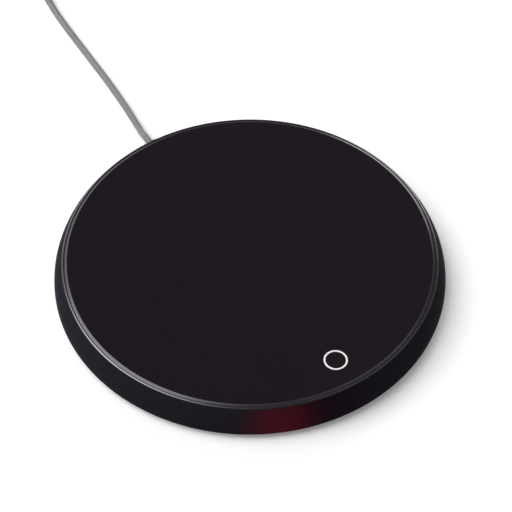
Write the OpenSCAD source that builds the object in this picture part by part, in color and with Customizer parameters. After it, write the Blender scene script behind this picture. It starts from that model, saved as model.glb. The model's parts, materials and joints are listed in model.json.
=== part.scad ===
// Electric mug warmer: a low round housing with a flush glass plate over a film
// heater, a touch key, an indicator behind the wall, and a low-voltage cord.
// Millimetres. The table is z = 0, the disc's axis is the Z axis, the touch key is
// at -Y (the front) and the cord leaves at +Y (the back).

/* [Glass plate] */
// Diameter of the flat middle of the glass
glass_flat_d = 120; // [116:1:140]
// Width of the rounded edge round the flat
glass_edge_w = 1.15; // [0.8:0.05:2]
// How far the rounded edge falls
glass_edge_drop = 0.45; // [0.2:0.05:0.8]
// Thickness of the glass
glass_t = 2; // [1.6:0.1:2.4]
// Gap round the glass in its seat
glass_gap = 0.1; // [0.05:0.05:0.4]
// Thickness of the adhesive gasket
gasket_t = 0.2; // [0.1:0.05:0.5]
// Width of the adhesive gasket
gasket_w = 3.6; // [2:0.1:4.2]

/* [Touch key] */
// Distance from the edge of the glass's flat to the middle of the key
key_inset = 9; // [8:0.5:11]
// Outer diameter of the printed ring
key_ring_d = 7.7; // [6:0.1:9]
// Width of the ring's line
key_line_w = 0.65; // [0.4:0.05:1]
// Depth of the fired enamel in the glass
enamel_t = 0.1; // [0.05:0.05:0.2]
// Largest diameter of the touch spring
spring_d = 7.6; // [6:0.1:8]
// Diameter of the spring's wire
spring_wire_d = 0.5; // [0.3:0.1:0.7]
// Turns of the spring
spring_turns = 3.5; // [3:0.5:4]

/* [Housing] */
// Height of the warmer from the table to the top of the glass
overall_h = 11.5; // [11.2:0.1:14]
// How far the lip lies below the top of the glass
lip_drop = 0.2; // [0.1:0.05:0.4]
// Width of the lip's flat crest
lip_w = 0.15; // [0.1:0.05:0.8]
// Rounding of the shoulder outside the lip
shoulder_round = 0.7; // [0.4:0.1:1.2]
// How far the wall spreads from the shoulder to the foot
flare = 2.9; // [1.5:0.1:4]
// Rounding of the foot
foot_round = 1.2; // [0.6:0.1:1.4]
// Thickness of the wall
wall_t = 2.4; // [2:0.1:2.8]
// Width of the ledge that carries the glass
ledge_w = 5; // [4.6:0.1:5.6]
// Thickness of the ledge
ledge_t = 1; // [0.8:0.1:1.4]
// Number of places for ribs under the ledge
rib_count = 24; // [12:1:36]
// Thickness of a rib
rib_t = 1; // [0.6:0.1:1.4]

/* [Base] */
// Thickness of the base cover
base_t = 1.6; // [1.4:0.1:2.2]
// Gap between the base cover and the housing
base_gap = 0.15; // [0.1:0.05:0.3]
// Width of the step that the base cover stops against
base_step = 0.5; // [0.3:0.05:0.7]
// Height of the ring ribs inside
ring_rib_h = 1.2; // [0.6:0.1:1.6]
// Radius of the inner ring rib
ring_rib_r = 18; // [12:0.5:19]
// Radius of the outer ring rib
outer_rib_r = 37; // [34:0.5:40]
// Number of vent slots
vent_count = 16; // [8:1:24]
// Width of a vent slot
vent_w = 1.8; // [1:0.1:2.4]
// Length of a vent slot
vent_l = 11; // [6:0.5:12]
// Diameter of a rubber foot
foot_pad_d = 12; // [8:0.5:13]
// Thickness of a rubber foot
foot_pad_t = 2; // [1.8:0.1:2.6]
// Depth of a foot's recess
foot_pad_seat = 0.8; // [0.5:0.1:0.9]
// Distance from the base cover's edge to the middle of a foot
foot_pad_inset = 12; // [8:0.5:18]

/* [Heater] */
// Thickness of the spreader
spreader_t = 1; // [0.6:0.1:1.2]
// How far the film stays inside the spreader's edge
film_inset = 2; // [1:0.5:4]
// Thickness of the heater film
film_t = 0.3; // [0.2:0.05:0.5]
// Thickness of the heater's track
track_t = 0.15; // [0.1:0.05:0.3]
// Width of the track
track_w = 2; // [1.2:0.1:2.4]
// Distance from one arc of the track to the next
track_pitch = 3.2; // [3:0.1:3.4]
// Number of arcs, an odd number
track_arcs = 9; // [5:2:9]
// Distance from the film's edge to the outermost arc's middle line
track_inset = 3; // [1.5:0.5:5]
// Width of the gap that the leads leave through
lead_gap = 12; // [11:0.5:14]
// Gap between the insulation pad and the heat shield's rim
pad_gap = 1; // [0.5:0.5:3]
// Thickness of the insulation pad
pad_t = 2; // [1.6:0.1:2.4]
// Gap between the heat shield and the control board
shield_gap = 5; // [4:0.5:6]
// Thickness of the heat shield
shield_t = 0.5; // [0.4:0.1:0.8]
// Height of the heat shield's rim
shield_rim_h = 2; // [1:0.1:2.2]
// Distance from the heat shield's edge to its screws
ear_reach = 3.5; // [3:0.25:4]
// Width of an ear
ear_w = 6; // [5:0.5:7]
// Diameter of the thermal fuse
fuse_d = 1.9; // [1.4:0.1:2]
// Length of the thermal fuse's body
fuse_l = 7; // [5:0.5:9]
// Diameter of the thermistor's bead
bead_d = 1.5; // [1.2:0.1:1.6]
// Length of the thermistor's bead
bead_l = 3; // [2.5:0.1:4]

/* [Control board] */
// Width of the board, across its ring
board_w = 11.5; // [11:0.25:12]
// Gap between the board and the wall
board_gap = 2.4; // [2:0.1:3]
// Half the angle that the board takes
board_half_angle = 39; // [38:0.5:39]
// Thickness of the board
board_t = 1; // [0.8:0.1:1.2]
// Distance from the ledge down to the top of the board
board_drop = 2.1; // [1.8:0.1:2.6]
// Angle of the indicator, from the front
led_angle = -22; // [-24:1:-18]
// Half the angle that the light guide takes
guide_half_angle = 14; // [10:1:16]
// Height of the light guide
guide_h = 3; // [2:0.1:3.4]
// Thickness of wall left in front of the light guide
window_t = 0.6; // [0.4:0.1:1]
// Angle of the lead connectors, from the front
lead_angle = 28; // [27:0.5:29]

/* [Screws] */
// Diameter of the screws' threads
screw_d = 2; // [1.6:0.1:2.2]
// Diameter of the screws' heads
screw_head_d = 3.6; // [3:0.1:3.8]
// Height of the pan heads
screw_head_h = 1; // [0.8:0.1:1.2]
// Play round a screw in the hole that it passes through
screw_gap = 0.1; // [0.05:0.05:0.2]
// Diameter of the posts and bosses that take the screws
boss_d = 5; // [4.4:0.1:5.2]
// Distance from the wall to the base screws
base_screw_inset = 3.9; // [3.5:0.1:4.5]

/* [Cord] */
// Diameter of the cord
cord_d = 2.5; // [2:0.1:3]
// Height of the cord where it leaves the wall
cord_z = 5; // [4.9:0.1:5.2]
// Diameter of the grommet's flanges
grommet_d = 5.2; // [4.8:0.2:6]
// Diameter of the hole in the wall
grommet_neck_d = 4.2; // [3.8:0.1:4.2]
// How far the grommet stands out of the wall
grommet_out = 0.7; // [0.6:0.1:2]
// Diameter of one insulated conductor
wire_d = 1.1; // [0.8:0.1:1.2]
// Diameter of one sensor wire
sensor_wire_d = 0.8; // [0.5:0.1:0.9]
// Width of the cord clamp
clamp_w = 15; // [14:0.5:16]
// Depth of the cord clamp, along the cord
clamp_l = 5; // [4.5:0.5:5.5]
// Thickness of the clamp over the cord
clamp_roof = 1.2; // [0.8:0.1:1.6]
// Thickness of the clamp under its screws
clamp_ear_t = 1; // [0.8:0.1:1.4]
// Radius of the coil's middle turn
coil_r = 14.9; // [14:0.1:16]
// Turns side by side in the coil
coil_columns = 3; // [3:1:3]
// Turns on top of each other in the coil
coil_layers = 4; // [4:1:4]
// Thickness of the tie's strap
tie_t = 0.6; // [0.4:0.1:0.8]
// Width of the tie's strap
tie_w = 6; // [4:0.5:8]

/* [Plug] */
// Width of the plug's moulding
plug_w = 15.6; // [14.6:0.2:16.4]
// Thickness of the plug's moulding
plug_h = 7.6; // [7:0.2:8.2]
// Length of the plug's moulding
plug_l = 22; // [18:0.5:26]
// Length of the plug's bend relief
plug_tail_l = 10; // [8:0.5:12]
// Width of the metal shell
shell_w = 12; // [11.9:0.1:12.1]
// Thickness of the metal shell
shell_h = 4.5; // [4.4:0.1:4.6]
// Length of shell outside the moulding
shell_l = 12; // [11.5:0.1:12.5]
// Thickness of the shell's sheet
shell_t = 0.3; // [0.2:0.05:0.4]
// Thickness of the insulating tongue
tongue_t = 1.8; // [1.5:0.1:2]

/* [Hidden] */
$fn = 96;
overlap = 0.01;

// Radii of the glass and the housing, from the middle outwards
glass_flat_r = glass_flat_d / 2;
glass_r = glass_flat_r + glass_edge_w;
pocket_r = glass_r + glass_gap;
ledge_r = pocket_r - ledge_w;
crest_r = pocket_r + lip_w;
foot_r = crest_r + shoulder_round + flare;

// Heights, up from the table
base_z = foot_pad_t - foot_pad_seat;
base_top = base_z + base_t;

// Heights, down from the glass
crest_z = overall_h - lip_drop;
glass_z = overall_h - glass_t;
ledge_top = glass_z - gasket_t;
ledge_z = ledge_top - ledge_t;
spreader_z = glass_z - spreader_t;
film_z = spreader_z - film_t;
track_z = film_z - track_t;
pad_z = track_z - pad_t;
shield_z = pad_z - shield_t;
board_top = ledge_z - board_drop;
board_z = board_top - board_t;

// The wall's outside is a parabola, upright where it meets the rounded foot and
// leaning in where it meets the rounded shoulder.
flank_z = base_z + foot_round;
shoulder_z = crest_z - shoulder_round;
first_lean = atan(2 * flare / (shoulder_z - flank_z));
lean = atan(
    2 * (foot_r - crest_r - shoulder_round * cos(first_lean))
    / (shoulder_z + shoulder_round * sin(first_lean) - flank_z)
);
flank_top_z = shoulder_z + shoulder_round * sin(lean);
flank_top_r = crest_r + shoulder_round * cos(lean);
function wall_out_r(z) =
    foot_r - (foot_r - flank_top_r) * pow((z - flank_z) / (flank_top_z - flank_z), 2);
function wall_in_r(z) = wall_out_r(z) - wall_t;

// The base cover sits in a rebate of the wall
rebate_r = wall_in_r(base_top) + base_step + base_gap;
base_r = rebate_r - base_gap;

// Radii inside the housing, from the wall inwards
base_screw_r = wall_in_r(ledge_z) - base_screw_inset;
board_out_r = wall_in_r(ledge_z) - board_gap;
board_in_r = board_out_r - board_w;
key_r = glass_flat_r - key_inset;
shield_r = board_in_r - shield_gap;
ear_r = shield_r + ear_reach;
spreader_r = shield_r - shield_t;
pad_r = shield_r - shield_t - pad_gap;
film_r = spreader_r - film_inset;
track_r = film_r - track_inset;
vent_r = (ring_rib_r + outer_rib_r) / 2;
foot_pad_r = base_r - foot_pad_inset;
lane_r = (ear_r + base_screw_r) / 2;

base_screw_angles = [45, 135, 225, 315];
foot_angles = [0, 90, 180, 270];
ear_angles = [-30, 30, 150, 210];
screw_r = screw_d / 2;
boss_r = boss_d / 2;
head_r = screw_head_d / 2;
hole_r = screw_r + screw_gap;
sink_r = head_r + screw_gap;
sink_h = sink_r - hole_r;
thread_end = 0.4;

// Places on the board: angle from the front and radius, in an inner and an outer row
row_in = 4;
row_out = 1.9;
inner_row_r = board_in_r + row_in;
outer_row_r = board_out_r - row_out;
middle_row_r = (inner_row_r + outer_row_r) / 2;
board_screws_at = [[-35, outer_row_r], [0, outer_row_r], [30, outer_row_r]];
supply_at = [-35, inner_row_r];
transistor_at = [-25.5, inner_row_r];
chip_at = [13, inner_row_r];
heater_plug_at = [lead_angle - 3, inner_row_r];
sensor_plug_at = [lead_angle + 5, inner_row_r];
capacitors_at = [[-15.5, inner_row_r], [-11.5, middle_row_r], [6.5, outer_row_r]];
resistors_at = [for (a = [10, 12.5, 15, 17.5]) [a, outer_row_r], [-9, inner_row_r], [20, middle_row_r]];
connector_h = 2.4;
connector_l = 5;
heater_plug_w = 6;
sensor_plug_w = 5;
chip = [3.9, 10, 1.5];
chip_pin = [1.4, 0.4, 0.6];
chip_pin_pitch = 1.27;
transistor = [6, 6.4, 2.2];
transistor_tab = [3, 5.2, 0.5];
transistor_pin = [2, 0.6, 0.5];
capacitor = [2.5, 3.2, 1.6];
resistor = [1.6, 0.8, 0.5];
led_w = 3;
led_l = 1.6;
led_h = 1;
led_lens = 0.3;
led_air = 0.2;
bore_through = 30;

// The cord leaves at the grommet's face and is laid along these points
exit_y = wall_out_r(cord_z) + grommet_out;
cord_run = [
    [0.1, 69.2, 4.75], [0.5, 73, 3.6], [1.3, 77, 2.3], [2, 81.5, 1.5], [2.65, 87, 1.28],
    [3.1, 93, 1.25], [3.45, 99, 1.25], [3.75, 105, 1.25], [3.95, 112, 1.25], [4.1, 119, 1.25],
    [4.25, 126, 1.25], [4.4, 133, 1.25], [4.6, 140, 1.25], [4.95, 147, 1.25], [5.6, 154, 1.25],
    [6.55, 161, 1.25], [7.7, 168, 1.25], [8.5, 174, 1.25],
];
coil_at = [26, 176];
cord_tail_run = [
    [31, 193.45, 8.75], [35.5, 193.9, 8.7], [39.6, 194.45, 8.2], [43.6, 194.65, 7.3], [47.6, 194.1, 6.1],
    [51.2, 192.6, 5], [54.1, 190.2, 4.2], [55.7, 187.6, 3.8],
];
plug_at = [56, 185, plug_h / 2];
coil_pitch = cord_d;
coil_outer_turn_r = coil_r + (coil_columns - 1) / 2 * coil_pitch;
coil_in_r = coil_r - coil_columns / 2 * coil_pitch;
coil_out_r = coil_r + coil_columns / 2 * coil_pitch;
coil_h = coil_layers * coil_pitch;
coil_top_z = coil_h - coil_pitch / 2;

// The strap's inside, across the turns, in the tie's own frame
tie_angle = 20;
tie_play = 0.05;
tie_from = sqrt(pow(coil_in_r, 2) - pow(tie_w / 2, 2)) - tie_play;
tie_to = coil_out_r + tie_play;

// The heater's leads leave along this direction
lead_dir = 270 + lead_angle;
fuse_y = -0.5;
heater_wire_y = -4;
sensor_wire_y = [2.6, 4.2];
strip_back = 15;
strip_end_r = track_r - strip_back;
corner_inset = 0.2;
pad_eye = 0.6;
wire_z = pad_z + pad_t / 2 + 0.1;

// Points of an arc round c, from angle a0 to a1
function arc_points(c, r, a0, a1, n) =
    [for (i = [0:n]) let (a = a0 + (a1 - a0) * i / n) c + r * [cos(a), sin(a)]];

// A place given by its angle from the front and its radius
function front_point(angle, r, z) = [r * cos(270 + angle), r * sin(270 + angle), z];

// A place in the frame of the heater's leads: x outwards, y to the side
function lead_point(x, y, z) = [
    x * cos(lead_dir) - y * sin(lead_dir), x * sin(lead_dir) + y * cos(lead_dir), z
];

function unit(v) = v / norm(v);
function heading(p, i) = unit(p[min(i + 1, len(p) - 1)] - p[max(i - 1, 0)]);

// One ring of a swept tube, square to its path
function tube_ring(p, i, r, sides) =
    let (ahead = heading(p, i), side = unit(cross(ahead, [0, 0, 1])), up = cross(side, ahead))
    [for (k = [0:sides - 1]) let (a = 360 * k / sides) p[i] + r * (cos(a) * side + sin(a) * up)];

module at_front(angle, r, z = 0) {
    rotate([0, 0, 270 + angle]) translate([r, 0, z]) children();
}

module at_lead_dir() {
    rotate([0, 0, lead_dir]) children();
}

// A tube swept along points, closed at both ends
module tube(points, d, sides = 6) {
    rings = [for (i = [0:len(points) - 1]) each tube_ring(points, i, d / 2, sides)];
    last = (len(points) - 1) * sides;
    polyhedron(rings, concat(
        [[for (k = [0:sides - 1]) k]],
        [[for (k = [0:sides - 1]) last + sides - 1 - k]],
        [for (i = [0:len(points) - 2], k = [0:sides - 1]) let (n = (k + 1) % sides)
            [i * sides + n, i * sides + k, (i + 1) * sides + k, (i + 1) * sides + n]]
    ));
}

// A ring or part of a ring with square edges
module sector(r_in, r_out, z, h, from = 0, to = 360) {
    rotate([0, 0, from])
        rotate_extrude(angle = to - from) translate([r_in, z]) square([r_out - r_in, h]);
}

module disc(r, z, h) {
    translate([0, 0, z]) cylinder(r = r, h = h);
}

// A rectangle with round corners, exact
module round_rect(w, h, r) {
    square([w - 2 * r, h], center = true);
    square([w, h - 2 * r], center = true);
    for (x = [-1, 1], y = [-1, 1]) translate([x * (w / 2 - r), y * (h / 2 - r)]) circle(r);
}

// A slot with round ends, along X
module slot(l, w, z, h) {
    translate([-(l - w) / 2, -w / 2, z]) cube([l - w, w, h]);
    for (x = [-1, 1]) translate([x * (l - w) / 2, 0, z]) cylinder(d = w, h = h, $fn = 32);
}

module cross_recess(depth) {
    for (a = [0, 90]) rotate([0, 0, a])
        translate([-head_r * 0.55, -screw_r * 0.18, -depth]) cube([head_r * 1.1, screw_r * 0.36, depth + 1]);
}

// A pan-head screw with the underside of its head at z = 0, pointing down
module pan_screw(l) {
    difference() {
        rotate_extrude() polygon(concat(
            [[0, -l], [screw_r * 0.4, -l], [screw_r, -l + thread_end], [screw_r, 0], [head_r, 0]],
            arc_points([head_r - 0.4, screw_head_h - 0.4], 0.4, 0, 90, 4),
            [[0, screw_head_h]]
        ));
        translate([0, 0, screw_head_h]) cross_recess(screw_head_h * 0.5);
    }
}

// ---- Glass plate ----

module top_glass() {
    color("#1f1a20") difference() {
        rotate_extrude($fn = 180) polygon(concat(
            [[0, glass_z], [glass_r, glass_z]],
            [for (i = [0:6]) let (a = 90 * i / 6)
                [glass_flat_r + glass_edge_w * cos(a), overall_h - glass_edge_drop * (1 - sin(a))]],
            [[0, overall_h]]
        ));
        key_ring(enamel_t + 1);
    }
}

module key_ring(h) {
    at_front(0, key_r, overall_h - enamel_t) difference() {
        cylinder(d = key_ring_d, h = h);
        translate([0, 0, -1]) cylinder(d = key_ring_d - 2 * key_line_w, h = h + 2);
    }
}

module touch_ring() {
    color("#f2f2ee") key_ring(enamel_t);
}

module glass_gasket() {
    gasket_r = ledge_r + ledge_w / 2;
    color("#303030") sector(gasket_r - gasket_w / 2, gasket_r + gasket_w / 2, ledge_top, gasket_t);
}

// ---- Housing ----

wall_steps = 8;
wall_outline = concat(
    arc_points([foot_r - foot_round, flank_z], foot_round, -90, 0, 6),
    [for (i = [1:wall_steps]) let (z = flank_z + (flank_top_z - flank_z) * i / wall_steps)
        [wall_out_r(z), z]],
    arc_points([crest_r, shoulder_z], shoulder_round, lean, 90, 6)
);
wall_inside = [
    for (i = [0:wall_steps]) let (z = ledge_z + (base_top - ledge_z) * i / wall_steps)
        [wall_in_r(z), z]
];

module housing_ring() {
    rotate_extrude($fn = 180) polygon(concat(
        wall_outline,
        [[pocket_r, crest_z], [pocket_r, ledge_top], [ledge_r, ledge_top], [ledge_r, ledge_z]],
        wall_inside,
        [[rebate_r, base_top], [rebate_r, base_z]]
    ));
}

// The ribs stand between the ledge and the wall
module ledge_ribs() {
    rib_in = ledge_r + 1;
    for (i = [0:rib_count - 1]) {
        a = 360 * (i + 0.5) / rib_count;
        from_boss = abs((a - 45) % 90);
        near_boss = min(from_boss, 90 - from_boss) < 6;
        near_guide = abs(a - 270 - led_angle) < guide_half_angle + 3;
        if (!near_boss && !near_guide) rotate([0, 0, a]) translate([0, rib_t / 2, 0])
            rotate([90, 0, 0]) linear_extrude(rib_t) polygon([
                [rib_in, ledge_z + overlap], [wall_in_r(ledge_z) + 1, ledge_z + overlap],
                [wall_in_r(ledge_z) + 1, ledge_z - 1.2], [wall_in_r(ledge_z) - 1, ledge_z - 1.2]
            ]);
    }
}

// The pocket leaves a thin window of wall, which the indicator shines through
guide_z = board_top + led_h / 2 - guide_h / 2 - 0.4;
guide_steps = 4;
guide_outline = [
    for (i = [0:guide_steps]) let (z = guide_z + guide_h * i / guide_steps)
        [wall_out_r(z) - window_t, z]
];

module guide_sector(r_in, spread) {
    rotate([0, 0, 270 + led_angle - guide_half_angle - spread])
        rotate_extrude(angle = 2 * (guide_half_angle + spread), $fn = 180)
            polygon(concat([[r_in, guide_z]], guide_outline, [[r_in, guide_z + guide_h]]));
}

module housing() {
    color("#232226") difference() {
        union() {
            housing_ring();
            ledge_ribs();
            for (a = base_screw_angles) rotate([0, 0, a])
                translate([base_screw_r, 0, base_top])
                    cylinder(r = boss_r, h = ledge_z - base_top + ledge_t / 2);
        }
        for (a = base_screw_angles) rotate([0, 0, a])
            translate([base_screw_r, 0, base_top - 1]) cylinder(r = screw_r, h = ledge_z - base_top + 1);
        guide_sector(board_out_r, 0);
        translate([0, wall_in_r(cord_z) - 2, cord_z]) rotate([-90, 0, 0])
            cylinder(d = grommet_neck_d, h = wall_t + 4);
    }
}

// ---- Base ----

module screw_post(h) {
    translate([0, 0, base_top - overlap]) cylinder(r = boss_r, h = h + overlap);
}

module screw_hole() {
    cylinder(r = screw_r, h = bore_through);
}

clamp_screw_x = clamp_w / 2 - boss_r + 0.3;
clamp_y = lane_r;
cord_inner_y = clamp_y - clamp_l / 2 - 2;
post_pilot_z = base_top - 0.4;

module base_cover() {
    color("#1c1c1f") difference() {
        union() {
            disc(base_r, base_z, base_t);
            for (r = [ring_rib_r, outer_rib_r])
                sector(r - 0.5, r + 0.5, base_top - overlap, ring_rib_h + overlap);
            for (a = [0:45:315]) rotate([0, 0, a]) translate([ring_rib_r, -0.5, base_top - overlap])
                cube([outer_rib_r - ring_rib_r, 1, ring_rib_h + overlap]);
            for (a = ear_angles) rotate([0, 0, a]) translate([ear_r, 0, 0]) screw_post(shield_z - base_top);
            for (p = board_screws_at) at_front(p[0], p[1]) screw_post(board_z - base_top);
            translate([-clamp_w / 2, clamp_y - clamp_l / 2, base_top - overlap])
                cube([clamp_w, clamp_l, cord_z - base_top + overlap]);
        }
        for (i = [0:vent_count - 1]) rotate([0, 0, 360 * (i + 0.5) / vent_count])
            translate([vent_r, 0, 0]) slot(vent_l, vent_w, base_z - 1, base_t + 2);
        for (a = foot_angles) rotate([0, 0, a]) translate([foot_pad_r, 0, base_z - 1])
            cylinder(d = foot_pad_d, h = 1 + foot_pad_seat);
        for (a = base_screw_angles) rotate([0, 0, a]) translate([base_screw_r, 0, base_z]) {
            translate([0, 0, -1]) cylinder(r = hole_r, h = base_t + 2);
            cylinder(r1 = sink_r, r2 = hole_r, h = sink_h);
        }
        for (a = ear_angles) rotate([0, 0, a]) translate([ear_r, 0, post_pilot_z]) screw_hole();
        for (p = board_screws_at) at_front(p[0], p[1], post_pilot_z) screw_hole();
        for (x = [-1, 1]) translate([x * clamp_screw_x, clamp_y, post_pilot_z]) screw_hole();
        translate([0, clamp_y - clamp_l, cord_z]) rotate([-90, 0, 0])
            cylinder(d = cord_d, h = 2 * clamp_l);
    }
}

module rubber_feet() {
    color("#2b2b2b") for (a = foot_angles) rotate([0, 0, a]) translate([foot_pad_r, 0, 0])
        rotate_extrude() polygon(concat(
            [[0, 0]], arc_points([foot_pad_d / 2 - 0.5, 0.5], 0.5, -90, 0, 4),
            [[foot_pad_d / 2, foot_pad_t], [0, foot_pad_t]]
        ));
}

module base_screws() {
    reach = ledge_z - thread_end;
    color("#8d8f92") for (a = base_screw_angles) rotate([0, 0, a]) translate([base_screw_r, 0, 0])
        difference() {
            rotate_extrude() polygon([
                [0, base_z], [sink_r, base_z], [hole_r, base_z + sink_h], [screw_r, base_z + sink_h],
                [screw_r, reach - thread_end], [screw_r * 0.4, reach], [0, reach]
            ]);
            translate([0, 0, base_z]) mirror([0, 0, 1]) cross_recess(sink_h * 0.6);
        }
}

// ---- Heater ----

module heat_spreader() {
    color("#c4c6c8") disc(spreader_r, spreader_z, spreader_t);
}

module heater_film() {
    color("#b5762a") disc(film_r, film_z, film_t);
}

// One long strip: arcs joined at alternate sides of the gap, with the way back down it
module track_outline() {
    half = lead_gap / 2;
    rim = track_w / 2;
    last = track_arcs - 1;
    inner_r = track_r - last * track_pitch;
    start_x = sqrt(pow(inner_r - rim, 2) - half * half) + corner_inset;
    end_x = sqrt(pow(track_r - rim, 2) - half * half) + corner_inset;
    for (i = [0:last]) difference() {
        circle(track_r - i * track_pitch + rim);
        circle(track_r - i * track_pitch - rim);
        translate([0, -half]) square([track_r * 2, lead_gap]);
    }
    for (i = [0:last - 1]) {
        out_r = track_r - i * track_pitch;
        in_r = out_r - track_pitch;
        from_x = sqrt(pow(in_r - rim, 2) - half * half) + corner_inset;
        to_x = sqrt(pow(out_r + rim, 2) - pow(half + track_w, 2)) - corner_inset;
        translate([from_x, i % 2 == 0 ? half : -half - track_w]) square([to_x - from_x, track_w]);
    }
    translate([start_x, fuse_y - rim]) square([track_w, half + rim - fuse_y + corner_inset]);
    translate([start_x, fuse_y - rim]) square([strip_end_r - start_x, track_w]);
    translate([end_x, -half - rim]) square([track_w - 2 * corner_inset, half + rim + heater_wire_y + rim]);
}

module heater_track() {
    color("#c9a36b") at_lead_dir() translate([0, 0, track_z]) linear_extrude(track_t) track_outline();
}

module insulation_pad() {
    color("#e4e0d4") difference() {
        disc(pad_r, pad_z, pad_t);
        disc(lead_gap / 2 + pad_eye, pad_z - 1, pad_t + 2);
        at_lead_dir() translate([0, -lead_gap / 2, pad_z - 1]) cube([2 * pad_r, lead_gap, pad_t + 2]);
    }
}

module heat_shield() {
    color("#aeb1b4") difference() {
        union() {
            disc(shield_r, shield_z, shield_t);
            sector(shield_r - shield_t, shield_r, shield_z, shield_t + shield_rim_h);
            for (a = ear_angles) rotate([0, 0, a]) {
                translate([shield_r - 2, -ear_w / 2, shield_z]) cube([ear_r - shield_r + 2, ear_w, shield_t]);
                translate([ear_r, 0, shield_z]) cylinder(d = ear_w, h = shield_t);
            }
        }
        for (a = ear_angles) rotate([0, 0, a]) translate([ear_r, 0, shield_z - 1])
            cylinder(r = hole_r, h = shield_t + 2);
        at_lead_dir() translate([shield_r - 4, -lead_gap / 2, pad_z])
            cube([8, lead_gap, shield_rim_h + 1]);
    }
}

module shield_screws() {
    color("#9a9ca0") for (a = ear_angles) rotate([0, 0, a]) translate([ear_r, 0, pad_z])
        pan_screw(pad_z - post_pilot_z);
}

// A glass bead in a drop of cement under the film, with its wires' side outwards
bead_z = film_z - 0.3 - bead_d / 2;

module thermistor() {
    color("#3f2a20") at_lead_dir() {
        disc(bead_d / 2 + 0.7, film_z - 0.6, 0.6);
        translate([-bead_l / 2, 0, bead_z]) rotate([0, 90, 0]) cylinder(d = bead_d, h = bead_l, $fn = 32);
    }
}

fuse_in_r = strip_end_r + 3;
fuse_z = pad_z + fuse_d / 2;

// The fuse's two pins: one up to the end of the track, one to its lead
module thermal_fuse() {
    color("#cfcfc8") at_lead_dir() {
        translate([fuse_in_r, fuse_y, fuse_z]) rotate([0, 90, 0])
            cylinder(d = fuse_d, h = fuse_l, $fn = 48);
        translate([strip_end_r - 1, fuse_y, fuse_z]) rotate([0, 90, 0])
            cylinder(d = 0.6, h = 4 + fuse_l + 2, $fn = 24);
        translate([strip_end_r - 1, fuse_y, fuse_z - 0.3])
            cylinder(d = 0.6, h = track_z - fuse_z + 0.3, $fn = 24);
    }
}

// ---- Control board ----

module control_board() {
    from = 270 - board_half_angle;
    color("#1f6b3a") difference() {
        sector(board_in_r, board_out_r, board_z, board_t, from, from + 2 * board_half_angle);
        for (p = board_screws_at) at_front(p[0], p[1], board_z - 1)
            cylinder(r = hole_r, h = board_t + 2);
    }
}

module board_screws() {
    color("#9a9ca0") for (p = board_screws_at) at_front(p[0], p[1], board_top)
        pan_screw(board_top - post_pilot_z);
}

// A chip body with leads along both long sides
module controller_chip() {
    color("#2a2a2d") at_front(chip_at[0], chip_at[1], board_top) {
        translate([-chip[0] / 2, -chip[1] / 2, 0.1]) cube([chip[0], chip[1], chip[2] - 0.1]);
        for (x = [-1, 1], i = [0:7])
            translate([x * (chip[0] / 2 + 0.35), (i - 3.5) * chip_pin_pitch, chip_pin[2] / 2])
                cube(chip_pin, center = true);
    }
}

module power_transistor() {
    color("#2a2a2d") at_front(transistor_at[0], transistor_at[1], board_top) {
        translate([-transistor[0] / 2, -transistor[1] / 2, 0.2])
            cube([transistor[0], transistor[1], transistor[2] - 0.2]);
        translate([1, -transistor_tab[1] / 2, 0]) cube(transistor_tab);
        for (y = [-1, 1]) translate([-transistor[0] / 2 - 0.8, y * 2 - transistor_pin[1] / 2, 0])
            cube(transistor_pin);
    }
}

module board_capacitors() {
    color("#b79a6e") for (p = capacitors_at) at_front(p[0], p[1], board_top)
        translate([-capacitor[0] / 2, -capacitor[1] / 2, 0]) cube(capacitor);
}

module board_resistors() {
    color("#35353a") for (p = resistors_at) at_front(p[0], p[1], board_top)
        translate([-resistor[0] / 2, -resistor[1] / 2, 0]) cube(resistor);
}

module indicator_led() {
    color("#d8d2c8") at_front(led_angle, board_out_r - led_l, board_top) {
        translate([0, -led_w / 2, 0]) cube([led_l - led_lens, led_w, led_h]);
        translate([led_l - led_lens, -led_w / 2 + led_lens, 0.2])
            cube([led_lens, led_w - 2 * led_lens, led_h - 0.2]);
    }
}

module light_guide() {
    color([0.95, 0.95, 0.95, 0.6]) difference() {
        guide_sector(board_out_r + led_air, 0);
        for (p = board_screws_at) at_front(p[0], p[1], guide_z - 1)
            cylinder(r = boss_r + led_air, h = board_z + led_air - guide_z + 1);
    }
}

// A conical spring between the board and the glass: it carries the touch of a finger
spring_flat = 0.5;
spring_rings_per_turn = 16;
flat_side = cos(180 / 6);

module touch_spring() {
    low = board_top + spring_wire_d / 2 * flat_side;
    high = glass_z - spring_wire_d / 2 * flat_side;
    big = (spring_d - spring_wire_d) / 2;
    small = big - 2 * spring_wire_d;
    steps = spring_turns * spring_rings_per_turn;
    centre = front_point(0, key_r, 0);
    points = [
        for (i = [0:steps])
        let (
            turn = i / spring_rings_per_turn,
            rise = min(1, max(0, (turn - spring_flat) / (spring_turns - 2 * spring_flat))),
            r = small + (big - small) * i / steps
        )
        centre + [r * cos(360 * turn), r * sin(360 * turn), low + (high - low) * rise]
    ];
    color("#b9bbbd") tube(points, spring_wire_d);
}

// ---- Leads ----

// A connector with its wires' side at -X
module connector(w) {
    translate([-connector_l / 2, -w / 2, 0]) difference() {
        cube([connector_l, w, connector_h]);
        translate([connector_l - 1.2, 0.6, connector_h - 0.8]) cube([2, w - 1.2, 2]);
    }
}

module lead_connectors() {
    color("#efece2") {
        at_front(heater_plug_at[0], heater_plug_at[1], board_top) connector(heater_plug_w);
        at_front(sensor_plug_at[0], sensor_plug_at[1], board_top) connector(sensor_plug_w);
        at_front(supply_at[0], supply_at[1], board_top) rotate([0, 0, 90]) connector(heater_plug_w);
    }
}

lead_z = board_top + connector_h / 2;

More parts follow.
